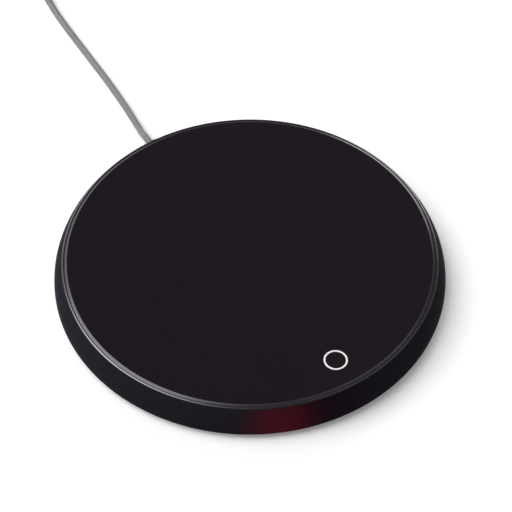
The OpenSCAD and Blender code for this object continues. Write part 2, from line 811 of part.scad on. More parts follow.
// The last two points of a lead that plugs into a connector on the board
function plug_in(at, y) = [
    for (x = [-connector_l / 2 - 2, -connector_l / 2]) let (a = 270 + at[0])
        [(at[1] + x) * cos(a) - y * sin(a), (at[1] + x) * sin(a) + y * cos(a), lead_z]
];

module heater_leads() {
    fuse_end = fuse_in_r + fuse_l + 2;
    color("#c9c4b8") {
        tube(concat(
            [lead_point(track_r - 2, heater_wire_y, track_z - wire_d / 2 * flat_side)],
            [lead_point(track_r + 1, heater_wire_y, track_z - wire_d / 2 * flat_side)],
            [lead_point(shield_r - 1, heater_wire_y, lead_z + 0.2)],
            plug_in(heater_plug_at, -1.3)
        ), wire_d);
        tube(concat(
            [lead_point(fuse_end, fuse_y, fuse_z), lead_point(fuse_end + 2, fuse_y, fuse_z)],
            [lead_point(shield_r - 1, fuse_y, lead_z)],
            plug_in(heater_plug_at, 1.3)
        ), wire_d);
    }
}

module sensor_leads() {
    color("#d8d2a8") for (i = [0, 1]) {
        y0 = (i - 0.5) * 1.1 * sensor_wire_d;
        tube(concat(
            [lead_point(bead_l / 2, y0, bead_z), lead_point(bead_l / 2 + 1.5, y0, bead_z)],
            [lead_point(10, sensor_wire_y[i] * 0.7, wire_z), lead_point(18, sensor_wire_y[i], wire_z)],
            [lead_point(shield_r - 2, sensor_wire_y[i], lead_z)],
            plug_in(sensor_plug_at, (i - 0.5) * 1.6)
        ), sensor_wire_d);
    }
}

module supply_leads() {
    end = 270 + supply_at[0];
    color("#a02c28") for (i = [0, 1]) {
        side = i - 0.5;
        lane = lane_r - side * 2;
        pin = supply_at[1] - side * 2;
        floor_z = base_top + wire_d / 2;
        tube(concat(
            [for (y = [0, -0.6]) [side * wire_d * 1.1, cord_inner_y + y, cord_z]],
            [[side * wire_d * 1.1 - 0.6, cord_inner_y - 1.4 - i, cord_z - 0.2]],
            [[-6 + side, cord_inner_y - 1.3 - i * 2.4, cord_z - 0.6]],
            [for (a = [108:12:216]) [lane * cos(a), lane * sin(a), floor_z]],
            [[lane * cos(222), lane * sin(222), lead_z - 2]],
            [for (x = [-3.5, 0]) [
                pin * cos(end) + (x - connector_l / 2) * -sin(end),
                pin * sin(end) + (x - connector_l / 2) * cos(end), lead_z
            ]]
        ), wire_d);
    }
}

// ---- Cord ----

module cord_grommet() {
    in_y = wall_in_r(cord_z) - grommet_out;
    color("#1a1a1c") difference() {
        union() {
            difference() {
                translate([0, in_y, cord_z]) rotate([-90, 0, 0]) cylinder(d = grommet_d, h = exit_y - in_y);
                housing_ring();
                disc(rebate_r, 0, base_top);
            }
            translate([0, in_y, cord_z]) rotate([-90, 0, 0]) cylinder(d = grommet_neck_d, h = exit_y - in_y);
        }
        translate([0, in_y - 1, cord_z]) rotate([-90, 0, 0]) cylinder(d = cord_d, h = exit_y - in_y + 2);
    }
}

// The stretch of cord that the housing holds, from the grommet's face through the clamp
module cord_inner_end() {
    color("#8f9094") translate([0, cord_inner_y, cord_z]) rotate([-90, 0, 0])
        cylinder(d = cord_d, h = exit_y - cord_inner_y);
}

// A saddle over the cord: a round hump between two flat ears
module cord_clamp() {
    color("#3a3a3e") difference() {
        union() {
            translate([-clamp_w / 2, clamp_y - clamp_l / 2, cord_z]) cube([clamp_w, clamp_l, clamp_ear_t]);
            intersection() {
                translate([0, clamp_y - clamp_l / 2, cord_z]) rotate([-90, 0, 0])
                    cylinder(r = cord_d / 2 + clamp_roof, h = clamp_l);
                translate([-clamp_w / 2, clamp_y - clamp_l / 2, cord_z]) cube([clamp_w, clamp_l, clamp_w]);
            }
        }
        translate([0, clamp_y - clamp_l, cord_z]) rotate([-90, 0, 0])
            cylinder(d = cord_d, h = 2 * clamp_l);
        for (x = [-1, 1]) translate([x * clamp_screw_x, clamp_y, cord_z - 1])
            cylinder(r = hole_r, h = bore_through);
    }
}

module clamp_screws() {
    top = cord_z + clamp_ear_t;
    color("#9a9ca0") for (x = [-1, 1]) translate([x * clamp_screw_x, clamp_y, top])
        pan_screw(top - post_pilot_z);
}

module power_cord() {
    start = [[0, exit_y, cord_z], [0, exit_y + 1, cord_z]];
    into_x = coil_at[0] - coil_outer_turn_r;
    into_coil = [[into_x, coil_at[1] - 1, cord_d / 2], [into_x, coil_at[1], cord_d / 2]];
    from_y = coil_at[1] + coil_outer_turn_r;
    from_coil = [[coil_at[0], from_y, coil_top_z], [coil_at[0] + 1, from_y, coil_top_z]];
    into_plug = [plug_at + [0, 1, 0], plug_at];
    color("#8f9094") {
        tube(concat(start, cord_run, into_coil), cord_d, 8);
        tube(concat(from_coil, cord_tail_run, into_plug), cord_d, 8);
    }
}

// The outer shape of the wound turns, raised where they lie on the tie and notched
// where the cord joins
module cord_coil() {
    side = coil_pitch / 2;
    color("#8f9094") translate([coil_at[0], coil_at[1], 0]) difference() {
        union() {
            rotate_extrude() translate([coil_in_r, 0]) polygon(concat(
                arc_points([coil_out_r - coil_in_r - side, side], side, -90, 0, 5),
                arc_points([coil_out_r - coil_in_r - side, coil_h - side], side, 0, 90, 5),
                arc_points([side, coil_h - side], side, 90, 180, 5),
                arc_points([side, side], side, 180, 270, 5)
            ));
            rotate([0, 0, tie_angle]) tie_inside(tie_w);
        }
        translate([-coil_out_r - 1, -coil_out_r, -1])
            cube([1 + coil_pitch, coil_out_r, 1 + coil_pitch]);
        translate([0, coil_out_r - coil_pitch, coil_h - coil_pitch])
            cube([coil_out_r, coil_pitch + 1, coil_pitch + 1]);
        rotate([0, 0, tie_angle]) translate([tie_from - 1, -tie_w / 2, -1])
            cube([tie_to - tie_from + 2, tie_w, 1 + tie_t]);
    }
}

// The turns that the strap holds, squared off
module tie_inside(w) {
    translate([tie_from, -w / 2, tie_t]) cube([tie_to - tie_from, w, coil_h]);
}

module cord_tie() {
    color("#17171a") translate([coil_at[0], coil_at[1], 0]) rotate([0, 0, tie_angle]) difference() {
        translate([tie_from - tie_t, -tie_w / 2, 0])
            cube([tie_to - tie_from + 2 * tie_t, tie_w, coil_h + 2 * tie_t]);
        tie_inside(tie_w + 2);
    }
}

// ---- Plug ----

// The plug's own frame: x towards the plug's tip
module at_plug() {
    translate(plug_at) rotate([0, 0, -90]) children();
}

module along_plug(x, l) {
    translate([x, 0, 0]) rotate([90, 0, 90]) linear_extrude(l) children();
}

shell_round = 0.6;
shell_from = plug_tail_l + plug_l - 3;
shell_to = plug_tail_l + plug_l + shell_l;

module usb_plug_body() {
    relief_r = 2.8;
    groove = 0.5;
    color("#1a1a1c") at_plug() difference() {
        union() {
            rotate([0, 90, 0]) cylinder(r1 = cord_d / 2 + 0.5, r2 = relief_r, h = plug_tail_l);
            along_plug(plug_tail_l, plug_l) round_rect(plug_w, plug_h, 2.4);
        }
        for (i = [1:3]) translate([plug_tail_l * i / 4, 0, 0]) rotate([0, 90, 0]) difference() {
            cylinder(r = relief_r + 1, h = groove * 2);
            translate([0, 0, -1]) cylinder(r = cord_d / 2 + 0.3, h = groove * 2 + 2);
        }
        along_plug(shell_from, 10) round_rect(shell_w, shell_h, shell_round);
    }
}

module shell_bore() {
    round_rect(shell_w - 2 * shell_t, shell_h - 2 * shell_t, shell_round - shell_t);
}

module usb_shell() {
    color("#c8cacc") at_plug() difference() {
        along_plug(shell_from, shell_to - shell_from) round_rect(shell_w, shell_h, shell_round);
        along_plug(shell_from + shell_t, shell_l + 10) shell_bore();
        for (y = [-1, 1], z = [-1, 1]) translate([shell_to - 6.5, y * shell_w / 4 - 1.2, z * shell_h / 2 - 1])
            cube([2, 2.4, 2]);
    }
}

tongue_low = shell_h / 2 - shell_t - tongue_t;

module usb_tongue() {
    color("#f2f2f0") at_plug() intersection() {
        along_plug(shell_from + shell_t, shell_to - shell_from - shell_t - 0.6) shell_bore();
        union() {
            translate([shell_from, -shell_w / 2, tongue_low]) cube([2 * shell_l, shell_w, shell_h]);
            translate([shell_from, -shell_w / 2, -shell_h / 2]) cube([shell_t + 2.4, shell_w, shell_h]);
        }
    }
}

module usb_contacts() {
    color("#d6b25e") at_plug() for (i = [0:3]) {
        outer = i == 0 || i == 3;
        l = outer ? 7.4 : 6.4;
        translate([shell_to - 1.2 - l - (outer ? 0 : 1), (i - 1.5) * 2.3 - 0.5, tongue_low - 0.2])
            cube([l, 1, 0.2]);
    }
}

top_glass();
touch_ring();
glass_gasket();
housing();
base_cover();
rubber_feet();
base_screws();
heat_spreader();
heater_film();
heater_track();
insulation_pad();
heat_shield();
shield_screws();
thermistor();
thermal_fuse();
control_board();
board_screws();
controller_chip();
power_transistor();
board_capacitors();
board_resistors();
touch_spring();
indicator_led();
light_guide();
lead_connectors();
heater_leads();
sensor_leads();
supply_leads();
cord_grommet();
cord_inner_end();
cord_clamp();
clamp_screws();
power_cord();
cord_coil();
cord_tie();
usb_plug_body();
usb_shell();
usb_tongue();
usb_contacts();
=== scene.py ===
import bpy
import json
import math
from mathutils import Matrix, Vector


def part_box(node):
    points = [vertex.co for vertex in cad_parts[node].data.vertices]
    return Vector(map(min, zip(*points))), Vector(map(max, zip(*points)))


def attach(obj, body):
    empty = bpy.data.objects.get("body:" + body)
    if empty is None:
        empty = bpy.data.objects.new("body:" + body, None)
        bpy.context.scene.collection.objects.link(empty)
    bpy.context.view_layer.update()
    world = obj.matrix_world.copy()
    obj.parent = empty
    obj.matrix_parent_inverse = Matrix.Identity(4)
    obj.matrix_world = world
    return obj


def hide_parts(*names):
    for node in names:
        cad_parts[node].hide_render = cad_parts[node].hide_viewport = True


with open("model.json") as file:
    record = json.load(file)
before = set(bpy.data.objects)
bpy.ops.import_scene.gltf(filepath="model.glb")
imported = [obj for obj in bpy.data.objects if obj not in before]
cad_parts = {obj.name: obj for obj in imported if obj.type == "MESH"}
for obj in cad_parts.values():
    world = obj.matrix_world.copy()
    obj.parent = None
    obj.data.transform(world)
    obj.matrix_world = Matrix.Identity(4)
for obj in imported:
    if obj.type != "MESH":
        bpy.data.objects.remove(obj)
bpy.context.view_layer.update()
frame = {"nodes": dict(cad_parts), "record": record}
nodes = frame["nodes"]
mm = 0.001

frontAngle = 270  # the touch key's side, counted anticlockwise from +X


def deselectAll():
    if bpy.context.object and bpy.context.object.mode != "OBJECT":
        bpy.ops.object.mode_set(mode="OBJECT")
    bpy.ops.object.select_all(action="DESELECT")


def activate(obj):
    deselectAll()
    obj.select_set(True)
    bpy.context.view_layer.objects.active = obj


def editAll(obj):
    activate(obj)
    bpy.ops.object.mode_set(mode="EDIT")
    bpy.ops.mesh.select_all(action="SELECT")


def selectWhere(obj, kind, test):
    bpy.ops.object.mode_set(mode="EDIT")
    bpy.ops.mesh.select_mode(type={"verts": "VERT", "edges": "EDGE", "faces": "FACE"}[kind])
    bpy.ops.mesh.select_all(action="DESELECT")
    bpy.ops.object.mode_set(mode="OBJECT")
    mesh = obj.data
    if kind == "verts":
        for vert in mesh.vertices:
            vert.select = test(vert.co / mm)
    if kind == "edges":
        for edge in mesh.edges:
            edge.select = test(*[mesh.vertices[i].co / mm for i in edge.vertices])
    if kind == "faces":
        for face in mesh.polygons:
            face.select = test(face.center / mm, face.normal)
    bpy.ops.object.mode_set(mode="EDIT")


def settle(obj, turn=(0, 0, 0), move=(0, 0, 0)):  # turns and moves a piece, then puts its place in its mesh
    activate(obj)
    obj.rotation_euler = [math.radians(a) for a in turn]
    obj.location = Vector(obj.location) + Vector(move) * mm
    bpy.ops.object.transform_apply(location=True, rotation=True, scale=True)


def tidyMesh(obj, smoothAngle=35):
    editAll(obj)
    bpy.ops.mesh.remove_doubles(threshold=0.002 * mm)
    bpy.ops.mesh.select_all(action="SELECT")
    bpy.ops.mesh.normals_make_consistent(inside=False)
    bpy.ops.object.mode_set(mode="OBJECT")
    bpy.ops.object.shade_smooth_by_angle(angle=math.radians(smoothAngle))


def turned(name, profile, segments=192, closed=False):  # rings drawn out one after the other, as on a lathe
    deselectAll()
    radius, height = profile[0]
    bpy.ops.mesh.primitive_circle_add(
        vertices=segments, radius=radius * mm, location=(0, 0, height * mm),
        fill_type="NOTHING" if closed else "NGON",
    )
    obj = bpy.context.object
    obj.name = name
    settle(obj)
    editAll(obj)
    rings = profile[1:] + (profile[:1] if closed else [])
    for nextRadius, nextHeight in rings:
        bpy.ops.mesh.extrude_region_move(
            TRANSFORM_OT_translate={"value": (0, 0, (nextHeight - height) * mm)}
        )
        scale = nextRadius / radius
        bpy.ops.transform.resize(value=(scale, scale, 1), center_override=(0, 0, 0))
        radius, height = nextRadius, nextHeight
    if not closed:
        bpy.ops.mesh.edge_face_add()  # the last ring gets its flat end
    bpy.ops.object.mode_set(mode="OBJECT")
    return obj


def spaced(start, end, steps):
    return [start + (end - start) * i / steps for i in range(steps + 1)]


def arc(centre, radius, start, end, steps):  # points of a rounded corner in a profile
    angles = [math.radians(a) for a in spaced(start, end, steps)]
    return [(centre[0] + radius * math.cos(a), centre[1] + radius * math.sin(a)) for a in angles]


def copyTurned(obj, angles):  # the piece once at each angle round the axis, joined into one
    copies = []
    for angle in angles:
        activate(obj)
        bpy.ops.object.duplicate()
        copies.append(bpy.context.object)
        settle(copies[-1], turn=(0, 0, angle))
    name = obj.name
    bpy.data.objects.remove(obj)
    whole = joined(copies)
    whole.name = name
    return whole


def joined(parts):
    deselectAll()
    for part in parts:
        part.select_set(True)
    bpy.context.view_layer.objects.active = parts[0]
    bpy.ops.object.join()
    return parts[0]


def cut(obj, tool, operation="DIFFERENCE", keepTool=False):
    activate(obj)
    mod = obj.modifiers.new("cut", "BOOLEAN")
    mod.operation = operation
    mod.object = tool
    mod.solver = "EXACT"
    bpy.ops.object.modifier_apply(modifier=mod.name)
    if not keepTool:
        bpy.data.objects.remove(tool)


def finishWith(obj, kind, **settings):
    activate(obj)
    mod = obj.modifiers.new(kind.lower(), kind)
    for key, value in settings.items():
        setattr(mod, key, value)
    bpy.ops.object.modifier_apply(modifier=mod.name)


def rod(radius, low, high, place=(0, 0), sides=48, topRadius=None):  # an upright pin, for holes and posts
    deselectAll()
    bpy.ops.mesh.primitive_cone_add(
        vertices=sides, radius1=radius * mm, radius2=(radius if topRadius is None else topRadius) * mm,
        depth=(high - low) * mm, location=(place[0] * mm, place[1] * mm, (low + high) / 2 * mm),
    )
    obj = bpy.context.object
    settle(obj)
    return obj


def block(size, centre):
    deselectAll()
    bpy.ops.mesh.primitive_cube_add(size=1, location=[c * mm for c in centre])
    obj = bpy.context.object
    obj.scale = [s * mm for s in size]
    settle(obj)
    return obj


def polar(radius, angle):
    return radius * math.cos(math.radians(angle)), radius * math.sin(math.radians(angle))


view = {
    "lens": 125, "sensor": 36, "distance": 584.7,
    "azimuth": -32, "elevation": 50.3,  # degrees round from the front, and up from the table
    "aim": (1.24, -1.8, 11.5),
}


def makeCamera():
    deselectAll()
    bpy.ops.object.camera_add()
    camera = bpy.context.object
    camera.name = "camera"
    azimuth, elevation = math.radians(view["azimuth"]), math.radians(view["elevation"])
    towards = Vector((
        math.sin(azimuth) * math.cos(elevation),
        -math.cos(azimuth) * math.cos(elevation),
        math.sin(elevation),
    ))
    camera.location = (Vector(view["aim"]) + towards * view["distance"]) * mm
    camera.rotation_euler = (-towards).to_track_quat("-Z", "Y").to_euler()
    camera.data.lens = view["lens"]
    camera.data.sensor_width = view["sensor"]
    camera.data.clip_start = 0.01
    camera.data.clip_end = 50
    bpy.context.scene.camera = camera


makeCamera()
print("camera ready")


cordRoute = {
    "diameter": 2.5,
    "exit": (0, 65.42, 5),
    "length": 1200,
    # laid from the grommet to the coil
    "run": [
        (0, 66.42, 5), (0.1, 69.2, 4.75), (0.5, 73, 3.6), (1.3, 77, 2.3), (2, 81.5, 1.5), (2.65, 87, 1.28),
        (3.1, 93, 1.25), (3.45, 99, 1.25), (3.75, 105, 1.25), (3.95, 112, 1.25), (4.1, 119, 1.25),
        (4.25, 126, 1.25), (4.4, 133, 1.25), (4.6, 140, 1.25), (4.95, 147, 1.25), (5.6, 154, 1.25),
        (6.55, 161, 1.25), (7.7, 168, 1.25), (8.5, 174, 1.25),
    ],
    # and from the coil to the plug
    "tail": [
        (27, 193.4, 8.75), (31, 193.45, 8.75), (35.5, 193.9, 8.7), (39.6, 194.45, 8.2), (43.6, 194.65, 7.3),
        (47.6, 194.1, 6.1), (51.2, 192.6, 5), (54.1, 190.2, 4.2), (55.7, 187.6, 3.8), (56, 186, 3.8),
        (56, 185, 3.8),
    ],
}
coil = {
    "centre": (26, 176), "outerTurn": 17.4, "columns": 3, "layers": 4,
    "degrees": 4050, "step": 15,  # eleven turns and a quarter, clockwise from the left
    "shiftSpan": 50, "riseSpan": 40,  # degrees in which a turn moves beside or on top of the last one
    "tieAngle": 20, "tieThick": 0.6, "tieWidth": 6,
    "tieSpan": 34, "tieEase": 1.6,  # degrees in which the turns rise over the strap, and how soon
}


def smooth(share):
    share = max(0, min(1, share))
    return share * share * (3 - 2 * share)


def coilPoints():
    pitch = cordRoute["diameter"]
    shifts, rises = [], []
    turn = 360 - coil["shiftSpan"]
    for layer in range(coil["layers"]):
        inwards = -pitch if layer % 2 == 0 else pitch
        for column in range(coil["columns"] - 1):
            shifts.append((turn, inwards))
            turn += 360
        rises.append((turn - coil["riseSpan"], pitch))
        turn += 360 - coil["riseSpan"] - coil["shiftSpan"]
    points = []
    for angle in range(0, coil["degrees"] + 1, coil["step"]):
        radius = coil["outerTurn"] + sum(d * smooth((angle - a) / coil["shiftSpan"]) for a, d in shifts)
        height = pitch / 2 + sum(d * smooth((angle - a) / coil["riseSpan"]) for a, d in rises[:-1])
        fromTie = abs((angle + coil["tieAngle"]) % 360 - 180)
        height += coil["tieThick"] * smooth((1 - fromTie / coil["tieSpan"]) * coil["tieEase"])
        x, y = polar(radius, 180 - angle)
        points.append((coil["centre"][0] + x, coil["centre"][1] + y, height))
    return points


def makeCord():
    deselectAll()
    points = [cordRoute["exit"]] + cordRoute["run"] + coilPoints() + cordRoute["tail"]
    curve = bpy.data.curves.new("power_lead", "CURVE")
    curve.dimensions = "3D"
    curve.resolution_u = 4
    curve.bevel_depth = cordRoute["diameter"] / 2 * mm
    curve.bevel_resolution = 6
    curve.use_fill_caps = True
    spline = curve.splines.new("BEZIER")
    spline.bezier_points.add(len(points) - 1)
    for knot, point in zip(spline.bezier_points, points):
        knot.co = Vector(point) * mm
        knot.handle_left_type = knot.handle_right_type = "AUTO"
    table = cordRoute["diameter"] / 2 + 0.001
    for knot in spline.bezier_points:
        if knot.co.z < table * mm:  # lies flat on the table, without a dip between its points
            left, right = knot.handle_left.copy(), knot.handle_right.copy()
            knot.handle_left_type = knot.handle_right_type = "FREE"
            knot.handle_left = (left.x, left.y, knot.co.z)
            knot.handle_right = (right.x, right.y, knot.co.z)
    lead = bpy.data.objects.new("power_lead", curve)
    bpy.context.scene.collection.objects.link(lead)
    return lead


lead = makeCord()
print("cord laid")

box = {name: [Vector(corner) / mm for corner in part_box(name)] for name in nodes}  # in millimetres
parts = {}

glass = {
    "edgeWidth": 0.97, "edgeDrop": 0.39,  # the ground bevel, seen from above and from the side
    "edgeFull": 1.2,  # 1 is a flat bevel, 2 a quarter round
    "edgeSteps": 18, "segments": 288, "underBreak": 0.15, "smoothAngle": 8,
    "keyRadius": 51, "ringDiameter": 7.7, "ringLine": 0.65, "ringSegments": 96,
    "enamel": 0.1, "enamelRound": 0.04,
}


def ringProfile(low, high, edge):  # the enamel line, a flat band with softened corners
    outer = glass["ringDiameter"] / 2
    inner = outer - glass["ringLine"]
    return [
        (inner, low), (outer, low), (outer, high - edge), (outer - edge, high), (inner + edge, high),
        (inner, high - edge),
    ]


def makeGlass():
    low, high = box["top_glass"]
    radius = high.x
    flat = radius - glass["edgeWidth"]
    profile = [(radius - glass["underBreak"], low.z), (radius, low.z + glass["underBreak"])]
    power = 2 / glass["edgeFull"]
    for step in spaced(0, 90, glass["edgeSteps"]):
        angle = math.radians(step)
        profile.append((
            flat + glass["edgeWidth"] * max(math.cos(angle), 0) ** power,
            high.z - glass["edgeDrop"] * (1 - math.sin(angle) ** power),
        ))
    plate = turned("glass_plate", profile, glass["segments"])
    tidyMesh(plate, glass["smoothAngle"])
    profile = ringProfile(high.z - glass["enamel"], high.z + 1, 0)
    groove = turned("groove", profile, glass["ringSegments"], closed=True)
    tidyMesh(groove)
    settle(groove, move=(0, -glass["keyRadius"], 0))
    cut(plate, groove)
    tidyMesh(plate, glass["smoothAngle"])  # sharp where the bevel starts
    return plate


def makeKeyRing():
    top = box["touch_ring"][1].z
    profile = ringProfile(top - glass["enamel"], top, glass["enamelRound"])
    ring = turned("key_ring", profile, glass["ringSegments"], closed=True)
    tidyMesh(ring, 50)
    settle(ring, move=(0, -glass["keyRadius"], 0))
    return ring


parts["top_glass"] = makeGlass()
parts["touch_ring"] = makeKeyRing()
print("glass and key ring made")

shell = {
    "footRound": 1.2, "shoulderRound": 0.7, "lipWidth": 0.15, "glassGap": 0.1, "edgeBreak": 0.04,
    "wall": 2.4, "ledgeWidth": 5, "ledgeThick": 1, "underGlass": 0.2,
    "baseThick": 1.6, "baseStep": 0.5, "baseGap": 0.15,
    "flankSteps": 18, "insideSteps": 8, "roundSteps": 12, "segments": 288,
    "ribs": 24, "ribThick": 1, "ribDepth": 1.2, "ribBury": 0.4, "ribClear": 6, "lampClear": 3,
    "bossRadius": 2.5, "bossInset": 3.9, "bossBury": 0.5,
    "screwRadius": 1, "screwAngles": (45, 135, 225, 315),
    "lampAngle": -22, "lampHalfAngle": 14, "cordHole": 4.2, "cordHeight": 5,
}


def wallShape():  # a parabola, upright over the rounded foot and leaning in under the rounded shoulder
    low, high = box["housing"]
    shape = {"foot": high.x, "low": low.z, "lip": high.z}
    shape["pocket"] = box["top_glass"][1].x + shell["glassGap"]
    shape["crest"] = shape["pocket"] + shell["lipWidth"]
    shape["flankLow"] = low.z + shell["footRound"]
    shoulderHeight = high.z - shell["shoulderRound"]
    flare = shape["foot"] - shape["crest"] - shell["shoulderRound"]
    first = math.atan(2 * flare / (shoulderHeight - shape["flankLow"]))
    spread = shape["foot"] - shape["crest"] - shell["shoulderRound"] * math.cos(first)
    rise = shoulderHeight + shell["shoulderRound"] * math.sin(first) - shape["flankLow"]
    shape["lean"] = math.atan(2 * spread / rise)
    shape["flankHigh"] = shoulderHeight + shell["shoulderRound"] * math.sin(shape["lean"])
    shape["flankTop"] = shape["crest"] + shell["shoulderRound"] * math.cos(shape["lean"])
    return shape


wall = wallShape()


def wallRadius(height):
    share = (height - wall["flankLow"]) / (wall["flankHigh"] - wall["flankLow"])
    return wall["foot"] - (wall["foot"] - wall["flankTop"]) * share * share


baseTop = box["base_cover"][0].z + shell["baseThick"]
ledgeTop = box["top_glass"][0].z - shell["underGlass"]
ledgeLow = ledgeTop - shell["ledgeThick"]
innerWall = wallRadius(ledgeLow) - shell["wall"]
bossRadius = innerWall - shell["bossInset"]


def makeHousing():
    flank = spaced(wall["flankLow"], wall["flankHigh"], shell["flankSteps"])[1:-1]
    inside = spaced(ledgeLow, baseTop, shell["insideSteps"])
    ledgeIn = wall["pocket"] - shell["ledgeWidth"]
    rebate = wallRadius(baseTop) - shell["wall"] + shell["baseStep"] + shell["baseGap"]
    edge, steps = shell["edgeBreak"], shell["roundSteps"]
    profile = (
        arc((wall["foot"] - shell["footRound"], wall["flankLow"]), shell["footRound"], -90, 0, steps)
        + [(wallRadius(z), z) for z in flank]
        + arc((wall["crest"], wall["lip"] - shell["shoulderRound"]), shell["shoulderRound"],
              math.degrees(wall["lean"]), 90, steps)
        + [(wall["pocket"] + edge, wall["lip"]), (wall["pocket"], wall["lip"] - edge)]
        + [(wall["pocket"], ledgeTop), (ledgeIn, ledgeTop), (ledgeIn, ledgeLow)]
        + [(wallRadius(z) - shell["wall"], z) for z in inside]
        + [(rebate, baseTop), (rebate, wall["low"])]
    )
    body = turned("housing_shell", profile, shell["segments"], closed=True)
    tidyMesh(body)
    for tool in (housingBosses(), housingRibs(ledgeIn + 1)):
        cut(body, tool, "UNION")
    for angle in shell["screwAngles"]:
        cut(body, rod(shell["screwRadius"], baseTop - 1, ledgeLow, polar(bossRadius, angle)))
    hole = rod(shell["cordHole"] / 2, -6, 6)  # long enough to pass through the wall
    settle(hole, turn=(90, 0, 0), move=(0, wallRadius(shell["cordHeight"]), shell["cordHeight"]))
    cut(body, hole)
    cut(body, nodeCopy("light_guide"))  # the pocket that leaves a thin window
    tidyMesh(body)
    return body


def nodeCopy(name):
    activate(nodes[name])
    bpy.ops.object.duplicate()
    obj = bpy.context.object
    for key in list(obj.keys()):
        del obj[key]
    obj.parent = None
    tidyMesh(obj)
    return obj


def housingBosses():
    top = ledgeLow + shell["bossBury"]
    places = [polar(bossRadius, angle) for angle in shell["screwAngles"]]
    return joined([rod(shell["bossRadius"], baseTop, top, place, 32) for place in places])


def housingRibs(innerEnd):
    ribs = []
    lampAngle = frontAngle + shell["lampAngle"]
    outerEnd = innerWall + 1
    for i in range(shell["ribs"]):
        angle = 360 * (i + 0.5) / shell["ribs"]
        nearBoss = min(abs(angle - a) for a in shell["screwAngles"]) < shell["ribClear"]
        if nearBoss or abs(angle - lampAngle) < shell["lampHalfAngle"] + shell["lampClear"]:
            continue
        rib = block(
            (outerEnd - innerEnd, shell["ribThick"], shell["ribDepth"] + shell["ribBury"]),
            ((outerEnd + innerEnd) / 2, 0, ledgeLow + (shell["ribBury"] - shell["ribDepth"]) / 2),
        )
        selectWhere(rib, "verts", lambda co: co.x < innerEnd + 0.1 and co.z < ledgeLow)
        rise = shell["ribDepth"] - 0.1
        bpy.ops.transform.translate(value=(0, 0, rise * mm))  # slopes up to the ledge's edge
        settle(rib, turn=(0, 0, angle))
        ribs.append(rib)
    return joined(ribs)


parts["housing"] = makeHousing()
print("housing made")

base = {
    "edgeRound": 0.25, "segments": 240, "ringRibs": (37, 18), "ribHeight": 1.2, "ribWidth": 1, "spokes": 8,
    "bury": 0.5,  # how far ribs and posts reach into the plate
    "vents": 16, "ventLength": 11, "ventWidth": 1.8,
    "footSeat": 0.8, "footDiameter": 12, "footRound": 0.6, "footAngles": (0, 90, 180, 270),
    "footFlat": 1.4, "footEase": (0.2, 0.01),  # where the flat ends, and the slight rise to the rounding
    "earInset": 15.4, "earAngles": (-30, 30, 150, 210),
    "boardPostInset": 4.3, "boardPostAngles": (-35, 0, 30), "postRadius": 2.5,
    "sinkRadius": 1.9, "sinkGap": 0.1, "holeRadius": 1.1, "headBreak": 0.12, "tip": 0.4,
    "crossReach": 1.05, "crossWidth": 0.4, "crossDepth": 0.55,
    "crossTaper": (0.5, 0.8),  # the recess narrows to these shares of its length and width
}
ventRadius = sum(base["ringRibs"]) / 2
footRadius = box["rubber_feet"][1].x - base["footDiameter"] / 2
clampMiddle = (box["cord_clamp"][0] + box["cord_clamp"][1]) / 2
clampSize = box["cord_clamp"][1] - box["cord_clamp"][0]


def makeBasePlate():
    low = box["base_cover"][0].z
    radius = box["base_cover"][1].x
    ribTop = baseTop + base["ribHeight"]
    half = base["ribWidth"] / 2
    profile = arc((radius - base["edgeRound"], low + base["edgeRound"]), base["edgeRound"], -90, 0, 4)
    profile.append((radius, baseTop))
    for ring in base["ringRibs"]:
        profile += [(ring + half, baseTop), (ring + half, ribTop)]
        profile += [(ring - half, ribTop), (ring - half, baseTop)]
    plate = turned("base_plate", profile, base["segments"])
    tidyMesh(plate)
    outerRib, innerRib = base["ringRibs"]
    spoke = block(
        (outerRib - innerRib, base["ribWidth"], base["ribHeight"] + base["bury"]),
        (ventRadius, 0, baseTop + (base["ribHeight"] - base["bury"]) / 2),
    )
    spokes = copyTurned(spoke, [360 * i / base["spokes"] for i in range(base["spokes"])])
    cut(plate, spokes, "UNION")
    cut(plate, basePosts(baseTop - base["bury"]), "UNION")
    cordGroove = rod(cordRoute["diameter"] / 2, -6, 6)
    settle(cordGroove, turn=(90, 0, 0), move=(0, clampMiddle.y, shell["cordHeight"]))
    cut(plate, cordGroove)
    cut(plate, ventCutter(low))
    for angle in base["footAngles"]:
        place = polar(footRadius, angle)
        cut(plate, rod(base["footDiameter"] / 2, low - 1, low + base["footSeat"], place, 96))
    for angle in shell["screwAngles"]:
        place = polar(bossRadius, angle)
        cut(plate, rod(base["holeRadius"], low - 1, baseTop + 1, place))
        sink, gap = base["sinkRadius"] - base["holeRadius"], base["sinkGap"]
        cut(plate, rod(base["sinkRadius"] + gap, low - gap, low + sink, place, 48, base["holeRadius"]))
    tidyMesh(plate)
    return plate


def basePosts(bottom):  # under the shield's ears and the board, and the cord's saddle
    posts = []
    for angle in base["earAngles"]:
        place = polar(innerWall - base["earInset"], angle)
        posts.append(rod(base["postRadius"], bottom, box["heat_shield"][0].z, place, 32))
    for angle in base["boardPostAngles"]:
        place = polar(innerWall - base["boardPostInset"], frontAngle + angle)
        posts.append(rod(base["postRadius"], bottom, box["control_board"][0].z, place, 32))
    top = shell["cordHeight"]
    posts.append(block((clampSize.x, clampSize.y, top - bottom), (0, clampMiddle.y, (top + bottom) / 2)))
    return joined(posts)


def ventCutter(low):
    slot = rod(base["ventWidth"] / 2, low - 1, baseTop + 1, sides=32)
    stretch = base["ventLength"] - base["ventWidth"]
    selectWhere(slot, "verts", lambda co: co.x > 0.001)
    bpy.ops.transform.translate(value=(stretch * mm, 0, 0))
    settle(slot, move=(ventRadius - stretch / 2, 0, 0))
    count = base["vents"]
    return copyTurned(slot, [360 * (i + 0.5) / count for i in range(count)])


